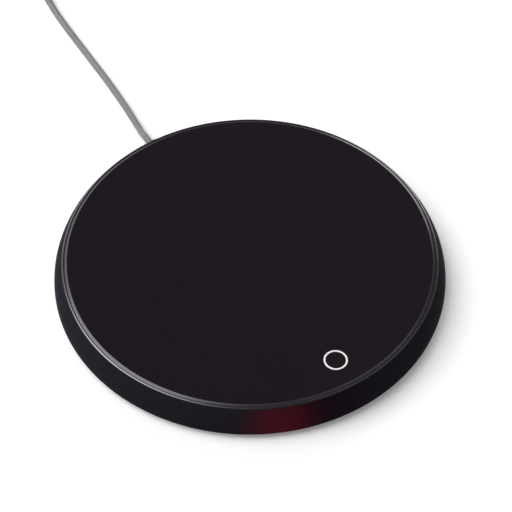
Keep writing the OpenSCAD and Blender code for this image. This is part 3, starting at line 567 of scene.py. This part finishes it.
def makeFeet():
    low, high = box["rubber_feet"]
    radius = base["footDiameter"] / 2
    across, up = base["footEase"]
    profile = [(radius - base["footFlat"], low.z), (radius - base["footRound"] - across, low.z + up)]
    profile += arc((radius - base["footRound"], low.z + base["footRound"]), base["footRound"], -80, 0, 6)
    profile.append((radius, high.z))
    foot = turned("feet_pads", profile, 96)
    tidyMesh(foot)
    settle(foot, move=(footRadius, 0, 0))
    return copyTurned(foot, base["footAngles"])


def makeBaseScrews():
    low, high = box["base_screws"]
    sink = base["sinkRadius"] - base["holeRadius"]
    head, shaft, edge = base["sinkRadius"], shell["screwRadius"], base["headBreak"]
    profile = [
        (head - edge, low.z), (head, low.z + edge / 2), (base["holeRadius"], low.z + sink),
        (shaft, low.z + sink), (shaft, high.z - base["tip"]), (base["tip"], high.z),
    ]
    screw = turned("base_screw_heads", profile, 48)
    tidyMesh(screw)
    for turn in (0, 90):
        size = (head * base["crossReach"], base["crossWidth"], base["crossDepth"])
        recess = block(size, (0, 0, low.z))
        selectWhere(recess, "verts", lambda co: co.z > low.z)
        bpy.ops.transform.resize(value=(*base["crossTaper"], 1), center_override=(0, 0, 0))
        settle(recess, turn=(0, 0, turn))
        cut(screw, recess)
    tidyMesh(screw)
    settle(screw, move=(bossRadius, 0, 0))
    return copyTurned(screw, shell["screwAngles"])


parts["base_cover"] = makeBasePlate()
parts["rubber_feet"] = makeFeet()
parts["base_screws"] = makeBaseScrews()
print("base, feet and screws made")

grommet = {
    "flange": 2.6, "neck": 2.15, "bore": 1.25, "round": 0.45, "edge": 0.2, "mouth": 0.3,
    "inWall": 0.8,  # neck and flanges reach into the wall, which then cuts them to its shape
}


def makeGrommet():  # drawn upright, then laid along the cord's way out
    low, high = box["cord_grommet"]
    length = high.y - low.y
    outer, neck, bore = grommet["flange"], grommet["neck"], grommet["bore"]
    wallOut = wallRadius(shell["cordHeight"]) - low.y
    outerFlange = wallOut - grommet["inWall"]
    innerFlange = wallOut - shell["wall"] + grommet["inWall"]
    profile = [(bore, 0), (outer - grommet["edge"], 0), (outer, grommet["edge"]), (outer, innerFlange)]
    profile += [(neck, innerFlange), (neck, outerFlange), (outer, outerFlange)]
    profile += arc((outer - grommet["round"], length - grommet["round"]), grommet["round"], 0, 90, 6)
    profile += [(bore + grommet["mouth"], length), (bore, length - grommet["edge"])]
    piece = turned("entry_grommet", profile, 64, closed=True)
    tidyMesh(piece)
    settle(piece, turn=(-90, 0, 0), move=(0, low.y, shell["cordHeight"]))
    cut(piece, parts["housing"], keepTool=True)
    cut(piece, rod(box["base_cover"][1].x + shell["baseGap"], 0, baseTop, sides=192))
    tidyMesh(piece)
    return piece


strap = {
    "play": 0.05, "round": 1.85, "roundSteps": 8, "edge": 0.12,
    "tabLength": 6.4, "tabRound": 1.6, "tabBury": 0.02,
}


def makeStrap():
    thick, width, pitch = coil["tieThick"], coil["tieWidth"], cordRoute["diameter"]
    innerTurn = coil["outerTurn"] - (coil["columns"] - 0.5) * pitch  # to the inner turns' inside
    inside = math.sqrt(innerTurn ** 2 - (width / 2) ** 2) - strap["play"]
    outside = coil["outerTurn"] + pitch / 2 + strap["play"]
    across = outside - inside + 2 * thick
    tall = coil["layers"] * pitch + 2 * thick
    middle = (inside + outside) / 2
    band = block((across, width, tall), (middle, 0, tall / 2))
    band.name = "coil_strap"
    selectWhere(band, "edges", lambda a, b: abs(a.y - b.y) > 1)
    bpy.ops.mesh.bevel(offset=strap["round"] * mm, segments=strap["roundSteps"], affect="EDGES")
    bpy.ops.object.mode_set(mode="OBJECT")
    selectWhere(band, "faces", lambda co, normal: abs(normal.y) > 0.9)
    bpy.ops.mesh.delete(type="FACE")
    bpy.ops.object.mode_set(mode="OBJECT")
    finishWith(band, "SOLIDIFY", thickness=thick * mm, offset=-1)
    side = middle + across / 2
    tabMiddle = tall - strap["round"] - strap["tabLength"] / 2
    tab = block((thick, width, strap["tabLength"]), (side + thick / 2 - strap["tabBury"], 0, tabMiddle))
    selectWhere(tab, "edges", lambda a, b: abs(a.x - b.x) > 0.1 and a.z < tall / 2)
    bpy.ops.mesh.bevel(offset=strap["tabRound"] * mm, segments=6, affect="EDGES")
    bpy.ops.object.mode_set(mode="OBJECT")
    cut(band, tab, "UNION")
    sharp = math.radians(50)
    finishWith(band, "BEVEL", width=strap["edge"] * mm, segments=2, limit_method="ANGLE", angle_limit=sharp)
    tidyMesh(band)
    settle(band, turn=(0, 0, coil["tieAngle"]), move=(coil["centre"][0], coil["centre"][1], 0))
    return band


plug = {
    "tail": 10, "tailStart": 1.75, "tailEnd": 2.8, "tailEdge": 0.2,
    "grooves": 3, "groove": 1, "grooveRadius": 1.55, "grooveSlope": 0.1,
    "length": 22, "width": 15.6, "height": 7.6, "corner": 2.4, "endRound": 0.7,
    "gripLines": 5, "gripPitch": 1.7, "gripLine": 0.6, "gripWidth": 8.4, "gripTaper": 1.1, "gripDepth": 0.3,
    "gripFrom": 14.5,
    "shellWidth": 12, "shellHeight": 4.5, "shellLength": 15, "shellRound": 0.6, "shellSheet": 0.3,
    "windowSize": (2, 2.4), "windowBack": 5.5, "windowSide": 3, "seam": 0.14,
}
plugAt = Vector(cordRoute["tail"][-1])
shellEnd = box["usb_shell"][0].y
shellFrom = plugAt.y - shellEnd - plug["shellLength"]


def shellBlock():
    length = plug["shellLength"]
    body = block((length, plug["shellWidth"], plug["shellHeight"]), (shellFrom + length / 2, 0, 0))
    selectWhere(body, "edges", lambda a, b: abs(a.x - b.x) > 1)
    bpy.ops.mesh.bevel(offset=plug["shellRound"] * mm, segments=5, affect="EDGES")
    bpy.ops.object.mode_set(mode="OBJECT")
    return body


def placePlugPiece(obj):
    settle(obj, turn=(0, 0, -90), move=plugAt)


def makePlugMoulding():
    start, length = plug["tail"], plug["length"]
    body = block((length, plug["width"], plug["height"]), (start + length / 2, 0, 0))
    body.name = "plug_moulding"
    selectWhere(body, "edges", lambda a, b: abs(a.x - b.x) > 1)
    bpy.ops.mesh.bevel(offset=plug["corner"] * mm, segments=8, affect="EDGES")
    bpy.ops.object.mode_set(mode="OBJECT")
    for x in (start, start + length):
        selectWhere(body, "faces", lambda co, normal: abs(co.x - x) < 0.01 and abs(normal.x) > 0.9)
        bpy.ops.mesh.bevel(offset=plug["endRound"] * mm, segments=4, affect="EDGES")
        bpy.ops.object.mode_set(mode="OBJECT")
    tidyMesh(body)
    cut(body, bendRelief(), "UNION")
    cut(body, shellBlock())
    for side in (-1, 1):
        for i in range(plug["gripLines"]):
            width = plug["gripWidth"] - abs(i - plug["gripLines"] // 2) * plug["gripTaper"]
            place = (plug["gripFrom"] + i * plug["gripPitch"], 0, side * plug["height"] / 2)
            cut(body, block((plug["gripLine"], width, 2 * plug["gripDepth"]), place))
    tidyMesh(body)
    placePlugPiece(body)
    return body


def bendRelief():
    def radiusAt(x):
        return plug["tailStart"] + (plug["tailEnd"] - plug["tailStart"]) * x / plug["tail"]

    edge, slope = plug["tailEdge"], plug["grooveSlope"]
    profile = [(plug["tailStart"] - edge, 0), (plug["tailStart"], edge)]
    for i in range(1, plug["grooves"] + 1):
        start = plug["tail"] * i / (plug["grooves"] + 1)
        end = start + plug["groove"]
        profile += [(radiusAt(start), start), (plug["grooveRadius"], start + slope)]
        profile += [(plug["grooveRadius"], end - slope), (radiusAt(end), end)]
    profile.append((plug["tailEnd"], plug["tail"] + 1))
    relief = turned("relief", profile, 64)
    tidyMesh(relief)
    settle(relief, turn=(0, 90, 0))
    return relief


def makePlugShell():
    body = shellBlock()
    body.name = "plug_shell"
    front = shellFrom + plug["shellLength"]
    selectWhere(body, "faces", lambda co, normal: normal.x > 0.9)
    bpy.ops.mesh.delete(type="FACE")
    bpy.ops.object.mode_set(mode="OBJECT")
    finishWith(body, "SOLIDIFY", thickness=plug["shellSheet"] * mm, offset=-1, use_even_offset=True)
    for side in (-1, 1):
        window = block((*plug["windowSize"], 8), (front - plug["windowBack"], side * plug["windowSide"], 0))
        cut(body, window)
    seamAt = (front - plug["shellLength"] / 2, 0, -plug["shellHeight"] / 2)
    cut(body, block((plug["shellLength"], plug["seam"], 2 * plug["seam"]), seamAt))
    tidyMesh(body)
    placePlugPiece(body)
    return body


parts["cord_grommet"] = makeGrommet()
parts["cord_tie"] = makeStrap()
parts["usb_plug_body"] = makePlugMoulding()
parts["usb_shell"] = makePlugShell()
print("grommet, strap and plug made")


def startMaterial(name, color, rough, metal=0.0, level=0.5):
    material = bpy.data.materials.new(name)
    material.use_nodes = True
    shader = material.node_tree.nodes["Principled BSDF"]
    shader.inputs["Base Color"].default_value = (*color, 1)
    shader.inputs["Roughness"].default_value = rough
    shader.inputs["Metallic"].default_value = metal
    shader.inputs["Specular IOR Level"].default_value = level
    return material, shader


def addNode(material, kind, inputs=None, **settings):
    made = material.node_tree.nodes.new(kind)
    for key, value in settings.items():
        setattr(made, key, value)
    for key, value in (inputs or {}).items():
        if isinstance(value, bpy.types.NodeSocket):
            material.node_tree.links.new(value, made.inputs[key])
        else:
            made.inputs[key].default_value = value
    return made


def placeOf(material, stretch=(1, 1, 1), turn=0):  # where a point is on the piece, in metres
    coords = addNode(material, "ShaderNodeTexCoord")
    return addNode(material, "ShaderNodeMapping", {
        "Vector": coords.outputs["Object"], "Scale": stretch, "Rotation": (0, 0, math.radians(turn))
    }).outputs["Vector"]


def noiseOf(material, place, size, detail=3.0, rough=0.5):  # size is a grain's, in millimetres
    return addNode(material, "ShaderNodeTexNoise", {
        "Vector": place, "Scale": 1 / (size * mm), "Detail": detail, "Roughness": rough
    }).outputs["Fac"]


def rangeOf(material, value, low, high, fromLow=0.3, fromHigh=0.7, kind="LINEAR"):
    return addNode(material, "ShaderNodeMapRange", {
        "Value": value, "From Min": fromLow, "From Max": fromHigh, "To Min": low, "To Max": high
    }, interpolation_type=kind).outputs["Result"]


def easedOf(material, value, fromLow, fromHigh, low=0, high=1):  # a slow start and a slow end
    return rangeOf(material, value, low, high, fromLow, fromHigh, "SMOOTHSTEP")


def mixOf(material, share, first, second):
    return addNode(material, "ShaderNodeMix", {0: share, 6: first, 7: second}, data_type="RGBA").outputs[2]


def patchy(material, noise, color, dark, light):  # the colour a little darker and lighter by turns
    return mixOf(material, rangeOf(material, noise, 0, 1), shade(color, dark), shade(color, light))


def mathOf(material, operation, first, second=0.0):
    return addNode(material, "ShaderNodeMath", {0: first, 1: second}, operation=operation).outputs[0]


def vectorOf(material, operation, first, second=(0, 0, 0)):
    made = addNode(material, "ShaderNodeVectorMath", {0: first, 1: second}, operation=operation)
    return made.outputs["Value" if operation in ("DISTANCE", "DOT_PRODUCT") else "Vector"]


def bumpOf(material, height, depth, under=None):  # depth in millimetres
    inputs = {"Height": height, "Distance": depth * mm, "Strength": 1.0}
    if under:
        inputs["Normal"] = under
    return addNode(material, "ShaderNodeBump", inputs).outputs["Normal"]


def connect(material, shader, **sockets):
    names = {"color": "Base Color", "rough": "Roughness", "normal": "Normal", "glow": "Emission Color"}
    for key, socket in sockets.items():
        material.node_tree.links.new(socket, shader.inputs[names[key]])


def shade(color, factor):
    return (*[c * factor for c in color], 1)


looks = {
    # in millimetres: stain is the patches' size, grain and depth are the fine bumps' size and depth
    # spread is how uneven the gloss is
    "gasket_foam": dict(color=(0.03, 0.03, 0.03), rough=0.85, grain=0.25, depth=0.03, stain=2.5),
    "base_plastic": dict(color=(0.014, 0.014, 0.016), rough=0.5, grain=0.16, depth=0.006,
                         stain=14, level=0.4),
    "foot_rubber": dict(color=(0.03, 0.03, 0.032), rough=0.75, grain=0.12, depth=0.004, stain=3, level=0.3),
    "screw_steel": dict(color=(0.5, 0.5, 0.52), rough=0.32, metal=1, grain=0.1, depth=0.003,
                        stain=0.8, spread=0.1),
    "spreader_aluminium": dict(color=(0.72, 0.73, 0.74), rough=0.36, metal=1, grain=0.08, depth=0.002,
                               stain=5, stretch=(1, 0.04, 1), spread=0.12),
    "film_polyimide": dict(color=(0.42, 0.18, 0.03), rough=0.22, grain=1.4, depth=0.012, stain=6),
    "track_foil": dict(color=(0.55, 0.36, 0.16), rough=0.35, metal=1, grain=0.06, depth=0.003,
                       stain=1.5, spread=0.1),
    "thermistor_glass": dict(color=(0.12, 0.05, 0.03), rough=0.15, grain=0.5, depth=0.01, stain=0.7),
    "fuse_metal": dict(color=(0.6, 0.6, 0.58), rough=0.3, metal=1, grain=0.3, depth=0.004,
                       stain=1, spread=0.12),
    "chip_black": dict(color=(0.02, 0.02, 0.022), rough=0.55, grain=0.07, depth=0.005, stain=1.2),
    "capacitor_ceramic": dict(color=(0.46, 0.32, 0.18), rough=0.4, grain=0.15, depth=0.004, stain=0.5),
    "connector_nylon": dict(color=(0.82, 0.8, 0.74), rough=0.4, grain=0.2, depth=0.003, stain=3),
    "lead_silicone": dict(color=(0.6, 0.57, 0.5), rough=0.5, grain=0.3, depth=0.004, stain=2.5),
    "lead_red": dict(color=(0.35, 0.03, 0.02), rough=0.35, grain=0.3, depth=0.004, stain=2.5),
    "grommet_rubber": dict(color=(0.013, 0.013, 0.014), rough=0.55, grain=0.1, depth=0.004,
                           stain=1.5, level=0.4),
    "cord_grey": dict(color=(0.19, 0.187, 0.2), rough=0.38, grain=0.35, depth=0.006, stain=9, level=0.45),
    "plug_plastic": dict(color=(0.016, 0.016, 0.018), rough=0.42, grain=0.12, depth=0.005,
                         stain=5, level=0.45),
    "plug_steel": dict(color=(0.62, 0.62, 0.63), rough=0.28, metal=1, grain=0.07, depth=0.002,
                       stain=2.5, stretch=(1, 0.06, 1), spread=0.1),
    "contact_gold": dict(color=(0.72, 0.5, 0.18), rough=0.22, metal=1, grain=0.08, depth=0.001,
                         stain=1, spread=0.08),
}


def plainFinish(slot):  # a moulded or metal surface: soft patches of colour, a fine grain, uneven gloss
    look = looks[slot]
    metal, level = look.get("metal", 0), look.get("level", 0.5)
    material, shader = startMaterial(slot, look["color"], look["rough"], metal, level)
    place = placeOf(material, look.get("stretch", (1, 1, 1)))
    patches = noiseOf(material, place, look["stain"], 4)
    grain = noiseOf(material, place, look["grain"], 2)
    spread = look.get("spread", 0.05)
    connect(
        material, shader,
        color=patchy(material, patches, look["color"], 0.88, 1.1),
        rough=rangeOf(material, patches, look["rough"] - spread, look["rough"] + spread),
        normal=bumpOf(material, grain, look["depth"]),
    )
    return material


glassLook = {
    "color": (0.0112, 0.0079, 0.0119), "rough": 0.07, "level": 0.3, "smear": 26, "smearRough": 0.03,
}


def glassFinish():
    rough, spread = glassLook["rough"], glassLook["smearRough"]
    material, shader = startMaterial("glass_black", glassLook["color"], rough, 0, glassLook["level"])
    place = placeOf(material, (1, 0.45, 1), 24)
    smears = noiseOf(material, place, glassLook["smear"], 5, 0.6)
    connect(
        material, shader,
        rough=rangeOf(material, smears, rough - spread, rough + spread),
        color=patchy(material, smears, glassLook["color"], 0.96, 1.04),
    )
    return material


edgeLook = {
    "color": (0.03, 0.022, 0.035), "rough": 0.22, "level": 0.56, "grind": 0.4, "grindDepth": 0.0006,
}


def edgeFinish():
    rough = edgeLook["rough"]
    material, shader = startMaterial("glass_edge", edgeLook["color"], rough, 0, edgeLook["level"])
    grind = noiseOf(material, placeOf(material), edgeLook["grind"], 2)
    connect(
        material, shader,
        rough=rangeOf(material, grind, rough - 0.04, rough + 0.04),
        normal=bumpOf(material, grind, edgeLook["grindDepth"]),
    )
    return material


enamelLook = {"color": (0.86, 0.86, 0.84), "rough": 0.35, "level": 0.4, "pore": 0.12, "depth": 0.002}


def enamelFinish():
    color = enamelLook["color"]
    material, shader = startMaterial("enamel_white", color, enamelLook["rough"], 0, enamelLook["level"])
    pores = noiseOf(material, placeOf(material), enamelLook["pore"], 3)
    connect(
        material, shader,
        color=patchy(material, pores, color, 0.94, 1.03),
        rough=rangeOf(material, pores, enamelLook["rough"] - 0.05, enamelLook["rough"] + 0.07),
        normal=bumpOf(material, pores, enamelLook["depth"]),
    )
    return material


satinLook = {
    "color": (0.0158, 0.0144, 0.0198), "rough": 0.48, "level": 0.006,
    "grain": 0.14, "depth": 0.003, "patch": 22,
    "glow": (0.037, 0.0001, 0.002), "glowHalfAngle": 14.5, "glowTurn": -1.2,
    "glowMiddle": 5.5, "glowReach": 14,  # height of the brightest line, and how far up and down it fades
    "paintedShadeColor": (0.0138, 0.0062, 0.0125), "paintedShadeHalfAngle": 27, "paintedShadeTurn": 9,  # painted shade and painted red glow: the wall just right of the lamp darker in green and blue, where little light falls, so it reads redder
}


def nearLamp(material, coords, turn, halfAngle):  # 1 in front of the lamp, fading round the wall
    heading = vectorOf(material, "NORMALIZE", vectorOf(material, "MULTIPLY", coords, (1, 1, 0)))
    lamp = (*polar(1, frontAngle + shell["lampAngle"] + turn), 0)
    aside = vectorOf(material, "DISTANCE", heading, lamp)
    return easedOf(material, aside, math.radians(halfAngle), 0)


def glowOf(material, coords):  # the lamp's light in the wall, spread to both sides and over the height
    across = nearLamp(material, coords, satinLook["glowTurn"], satinLook["glowHalfAngle"])
    height = addNode(material, "ShaderNodeSeparateXYZ", {0: coords}).outputs["Z"]
    away = mathOf(material, "ABSOLUTE", mathOf(material, "SUBTRACT", height, satinLook["glowMiddle"] * mm))
    upDown = easedOf(material, away, satinLook["glowReach"] * mm, 0)
    share = mathOf(material, "MULTIPLY", across, upDown)
    return mixOf(material, share, (0, 0, 0, 1), (*satinLook["glow"], 1))


def satinFinish():
    rough = satinLook["rough"]
    material, shader = startMaterial("housing_satin", satinLook["color"], rough, 0, satinLook["level"])
    place = placeOf(material)
    patches = noiseOf(material, place, satinLook["patch"], 4)
    grain = noiseOf(material, place, satinLook["grain"], 2)
    coords = addNode(material, "ShaderNodeTexCoord").outputs["Object"]
    # painted shade and painted red glow beside the lamp, mixed over the moulded colour
    paintedShade = nearLamp(material, coords, satinLook["paintedShadeTurn"], satinLook["paintedShadeHalfAngle"])
    moulded = patchy(material, patches, satinLook["color"], 0.92, 1.08)
    connect(
        material, shader,
        color=mixOf(material, paintedShade, moulded, (*satinLook["paintedShadeColor"], 1)),
        rough=rangeOf(material, patches, rough - 0.03, rough + 0.03),
        normal=bumpOf(material, grain, satinLook["depth"]),
        glow=glowOf(material, coords),
    )
    shader.inputs["Emission Strength"].default_value = 1
    return material


lipLook = {
    "color": (0.004, 0.0038, 0.005), "rough": 0.2, "level": 1.0, "ior": 1.62, "grain": 0.5, "depth": 0.0005,
}


def lipFinish():
    rough = lipLook["rough"]
    material, shader = startMaterial("housing_lip", lipLook["color"], rough, 0, lipLook["level"])
    shader.inputs["IOR"].default_value = lipLook["ior"]
    grain = noiseOf(material, placeOf(material), lipLook["grain"], 2)
    connect(
        material, shader,
        rough=rangeOf(material, grain, rough - 0.03, rough + 0.03),
        normal=bumpOf(material, grain, lipLook["depth"]),
    )
    return material


feltLook = {
    "color": (0.75, 0.72, 0.64), "rough": 0.95, "fibre": 0.25, "fibreDepth": 0.12, "patch": 6, "sheen": 0.4,
}


def feltFinish():
    material, shader = startMaterial("pad_felt", feltLook["color"], feltLook["rough"], 0, 0.2)
    patches = noiseOf(material, placeOf(material), feltLook["patch"], 3)
    fibres = noiseOf(material, placeOf(material, (1, 0.15, 1), 35), feltLook["fibre"], 4, 0.7)
    crossing = noiseOf(material, placeOf(material, (0.15, 1, 1), 12), feltLook["fibre"], 4, 0.7)
    connect(
        material, shader,
        color=patchy(material, patches, feltLook["color"], 0.9, 1.05),
        normal=bumpOf(material, mathOf(material, "ADD", fibres, crossing), feltLook["fibreDepth"]),
    )
    shader.inputs["Sheen Weight"].default_value = feltLook["sheen"]
    return material


boardLook = {
    "color": (0.02, 0.14, 0.05), "overTracks": (0.035, 0.22, 0.08), "rough": 0.3,
    "tracks": 160, "trackWidth": 0.06, "trackHeight": 0.03, "weave": 0.4, "weaveDepth": 0.008,
}


def boardFinish():  # solder resist over straight copper tracks
    material, shader = startMaterial("board_laminate", boardLook["color"], boardLook["rough"])
    place = placeOf(material)
    tracks = addNode(material, "ShaderNodeTexBrick", {
        "Vector": place, "Scale": boardLook["tracks"], "Mortar Size": boardLook["trackWidth"],
        "Mortar Smooth": 0.3, "Row Height": 0.3,
        "Color1": (0, 0, 0, 1), "Color2": (0, 0, 0, 1), "Mortar": (1, 1, 1, 1),
    }).outputs["Color"]
    weave = bumpOf(material, noiseOf(material, place, boardLook["weave"], 2), boardLook["weaveDepth"])
    connect(
        material, shader,
        color=mixOf(material, tracks, (*boardLook["color"], 1), (*boardLook["overTracks"], 1)),
        normal=bumpOf(material, tracks, boardLook["trackHeight"], weave),
    )
    return material


lampLook = {"color": (0.7, 0.1, 0.08), "rough": 0.15, "cloud": 0.6, "light": (0.6, 0.04, 0.02)}


def lampFinish():
    material, shader = startMaterial("led_red", lampLook["color"], lampLook["rough"])
    inside = noiseOf(material, placeOf(material), lampLook["cloud"], 2)
    connect(material, shader, color=patchy(material, inside, lampLook["color"], 0.85, 1.1))
    shader.inputs["Emission Color"].default_value = (*lampLook["light"], 1)
    shader.inputs["Emission Strength"].default_value = 1
    return material


guideLook = {
    "color": (0.9, 0.9, 0.9), "rough": 0.12, "clear": 0.08, "matt": 0.3, "frost": 0.2, "depth": 0.003,
    "through": 0.7, "ior": 1.49,
}


def guideFinish():
    material, shader = startMaterial("guide_clear", guideLook["color"], guideLook["rough"])
    frost = noiseOf(material, placeOf(material), guideLook["frost"], 2)
    connect(
        material, shader,
        rough=rangeOf(material, frost, guideLook["clear"], guideLook["matt"]),
        normal=bumpOf(material, frost, guideLook["depth"]),
    )
    shader.inputs["Transmission Weight"].default_value = guideLook["through"]
    shader.inputs["IOR"].default_value = guideLook["ior"]
    return material


tapeLook = {
    "color": (0.012, 0.012, 0.014), "rough": 0.9, "sheen": 0.25,
    "rib": 1.6, "ribDepth": 0.08, "nap": 0.22, "napDepth": 0.12,
}


def tapeFinish():  # hook-and-loop tape: a napped weave, ribbed across its width
    material, shader = startMaterial("tie_fabric", tapeLook["color"], tapeLook["rough"], 0, 0.2)
    place = placeOf(material, (1, 1, 1), -coil["tieAngle"])
    ribs = addNode(material, "ShaderNodeTexWave", {
        "Vector": place, "Scale": 1 / (tapeLook["rib"] * mm),
        "Distortion": 1.2, "Detail": 2, "Detail Scale": 4,
    }, bands_direction="Y").outputs["Fac"]
    woven = bumpOf(material, ribs, tapeLook["ribDepth"])
    nap = noiseOf(material, place, tapeLook["nap"], 4, 0.7)
    connect(
        material, shader,
        color=patchy(material, nap, tapeLook["color"], 0.7, 1.7),
        normal=bumpOf(material, nap, tapeLook["napDepth"], woven),
    )
    shader.inputs["Sheen Weight"].default_value = tapeLook["sheen"]
    shader.inputs["Sheen Roughness"].default_value = 0.5
    return material


finishes = {slot: plainFinish(slot) for slot in looks}
finishes.update({
    "glass_black": glassFinish(), "enamel_white": enamelFinish(), "housing_satin": satinFinish(),
    "pad_felt": feltFinish(), "board_laminate": boardFinish(), "led_red": lampFinish(),
    "guide_clear": guideFinish(), "tie_fabric": tapeFinish(),
})
slotOf = {row["node"]: row["material_slot"] for row in frame["record"]["subparts"]}


def coat(obj, slot):
    obj.data.materials.clear()
    obj.data.materials.append(finishes[slot])


def coatSecond(obj, material, test):  # a second finish where test holds
    obj.data.materials.append(material)
    for face in obj.data.polygons:
        if test(face.center / mm, face.normal):
            face.material_index = 1


for name, obj in nodes.items():
    obj.material_slots[0].material = finishes[slotOf[name]]

for name, piece in parts.items():
    coat(piece, slotOf[name])
    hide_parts(name)
    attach(piece, "root")

glassFlat = box["top_glass"][1].x - glass["edgeWidth"]
coatSecond(parts["top_glass"], edgeFinish(), lambda co, normal: math.hypot(co.x, co.y) > glassFlat)
coatSecond(
    parts["housing"], lipFinish(),
    lambda co, normal: co.z > wall["flankHigh"] - 0.1 and math.hypot(co.x, co.y) > wall["pocket"] - 0.01,
)
coat(lead, "cord_grey")
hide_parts("power_cord", "cord_coil")
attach(lead, "root")
print("finishes laid on")

studio = {
    "floorSize": 12, "floorColor": (0.9, 0.9, 0.9), "floorSpeck": 40, "floorLift": 0.2,
    "horizon": 0.15, "zenith": 0.1, "fadeTo": 0.55,  # the sky's brightness, and where it stops falling
    "window": {"azimuth": 138, "height": 55, "reach": 34, "core": 13, "strength": 4.5},
    "lamps": {
        # place (m), size (m), watts, all pointed at the warmer
        "left_panel": ((-0.8, 0.37, 0.47), (0.35, 0.5), 1.6),
        "rear_panel": ((0, 0.9, 0.44), (0.6, 0.5), 1.25),
        "back_panel": ((0.8, 0.54, 0.35), (0.42, 0.57), 2.75),
        "top_panel": ((0.66, 0, 1.24), (0.7, 0.7), 0.8),
    },
}


def makeFloor():
    deselectAll()
    bpy.ops.mesh.primitive_grid_add(x_subdivisions=4, y_subdivisions=4, size=studio["floorSize"])
    floor = bpy.context.object
    floor.name = "floor"
    material, shader = startMaterial("floor_white", studio["floorColor"], 0.9, 0, 0.0)
    speck = noiseOf(material, placeOf(material), studio["floorSpeck"], 3)
    connect(material, shader, color=patchy(material, speck, studio["floorColor"], 0.997, 1.003))
    ray = addNode(material, "ShaderNodeLightPath").outputs
    seen = mathOf(material, "MAXIMUM", ray["Is Camera Ray"], ray["Is Glossy Ray"])
    seen = mathOf(material, "MAXIMUM", seen, ray["Is Transmission Ray"])
    lift = mathOf(material, "MULTIPLY", seen, studio["floorLift"])
    material.node_tree.links.new(lift, shader.inputs["Emission Strength"])
    shader.inputs["Emission Color"].default_value = (1, 1, 1, 1)
    floor.data.materials.append(material)


def makeSky():  # brighter round the horizon than overhead, with a soft bright patch at the back left
    world = bpy.data.worlds.new("studio")
    bpy.context.scene.world = world
    world.use_nodes = True
    coords = addNode(world, "ShaderNodeTexCoord").outputs["Generated"]
    height = addNode(world, "ShaderNodeSeparateXYZ", {0: coords}).outputs["Z"]
    fade = easedOf(world, height, 0, studio["fadeTo"], studio["horizon"], studio["zenith"])
    window = studio["window"]
    up = math.radians(window["height"])
    facing = vectorOf(world, "DOT_PRODUCT", coords, (*polar(math.cos(up), window["azimuth"]), math.sin(up)))
    reach, core = [math.cos(math.radians(window[key])) for key in ("reach", "core")]
    patch = easedOf(world, facing, reach, core, 0, window["strength"])
    background = world.node_tree.nodes["Background"]
    background.inputs["Color"].default_value = (1, 1, 1, 1)
    world.node_tree.links.new(mathOf(world, "ADD", fade, patch), background.inputs["Strength"])


def makeLamps():
    for name, (place, size, watts) in studio["lamps"].items():
        deselectAll()
        bpy.ops.object.light_add(type="AREA", location=place)
        lamp = bpy.context.object
        lamp.name = name
        lamp.rotation_euler = (-Vector(place)).to_track_quat("-Z", "Y").to_euler()
        lamp.data.shape = "RECTANGLE"
        lamp.data.size, lamp.data.size_y = size
        lamp.data.energy = watts
        lamp.visible_camera = False


makeFloor()
makeSky()
makeLamps()
bpy.context.scene.view_settings.view_transform = "Standard"
print("studio lit")
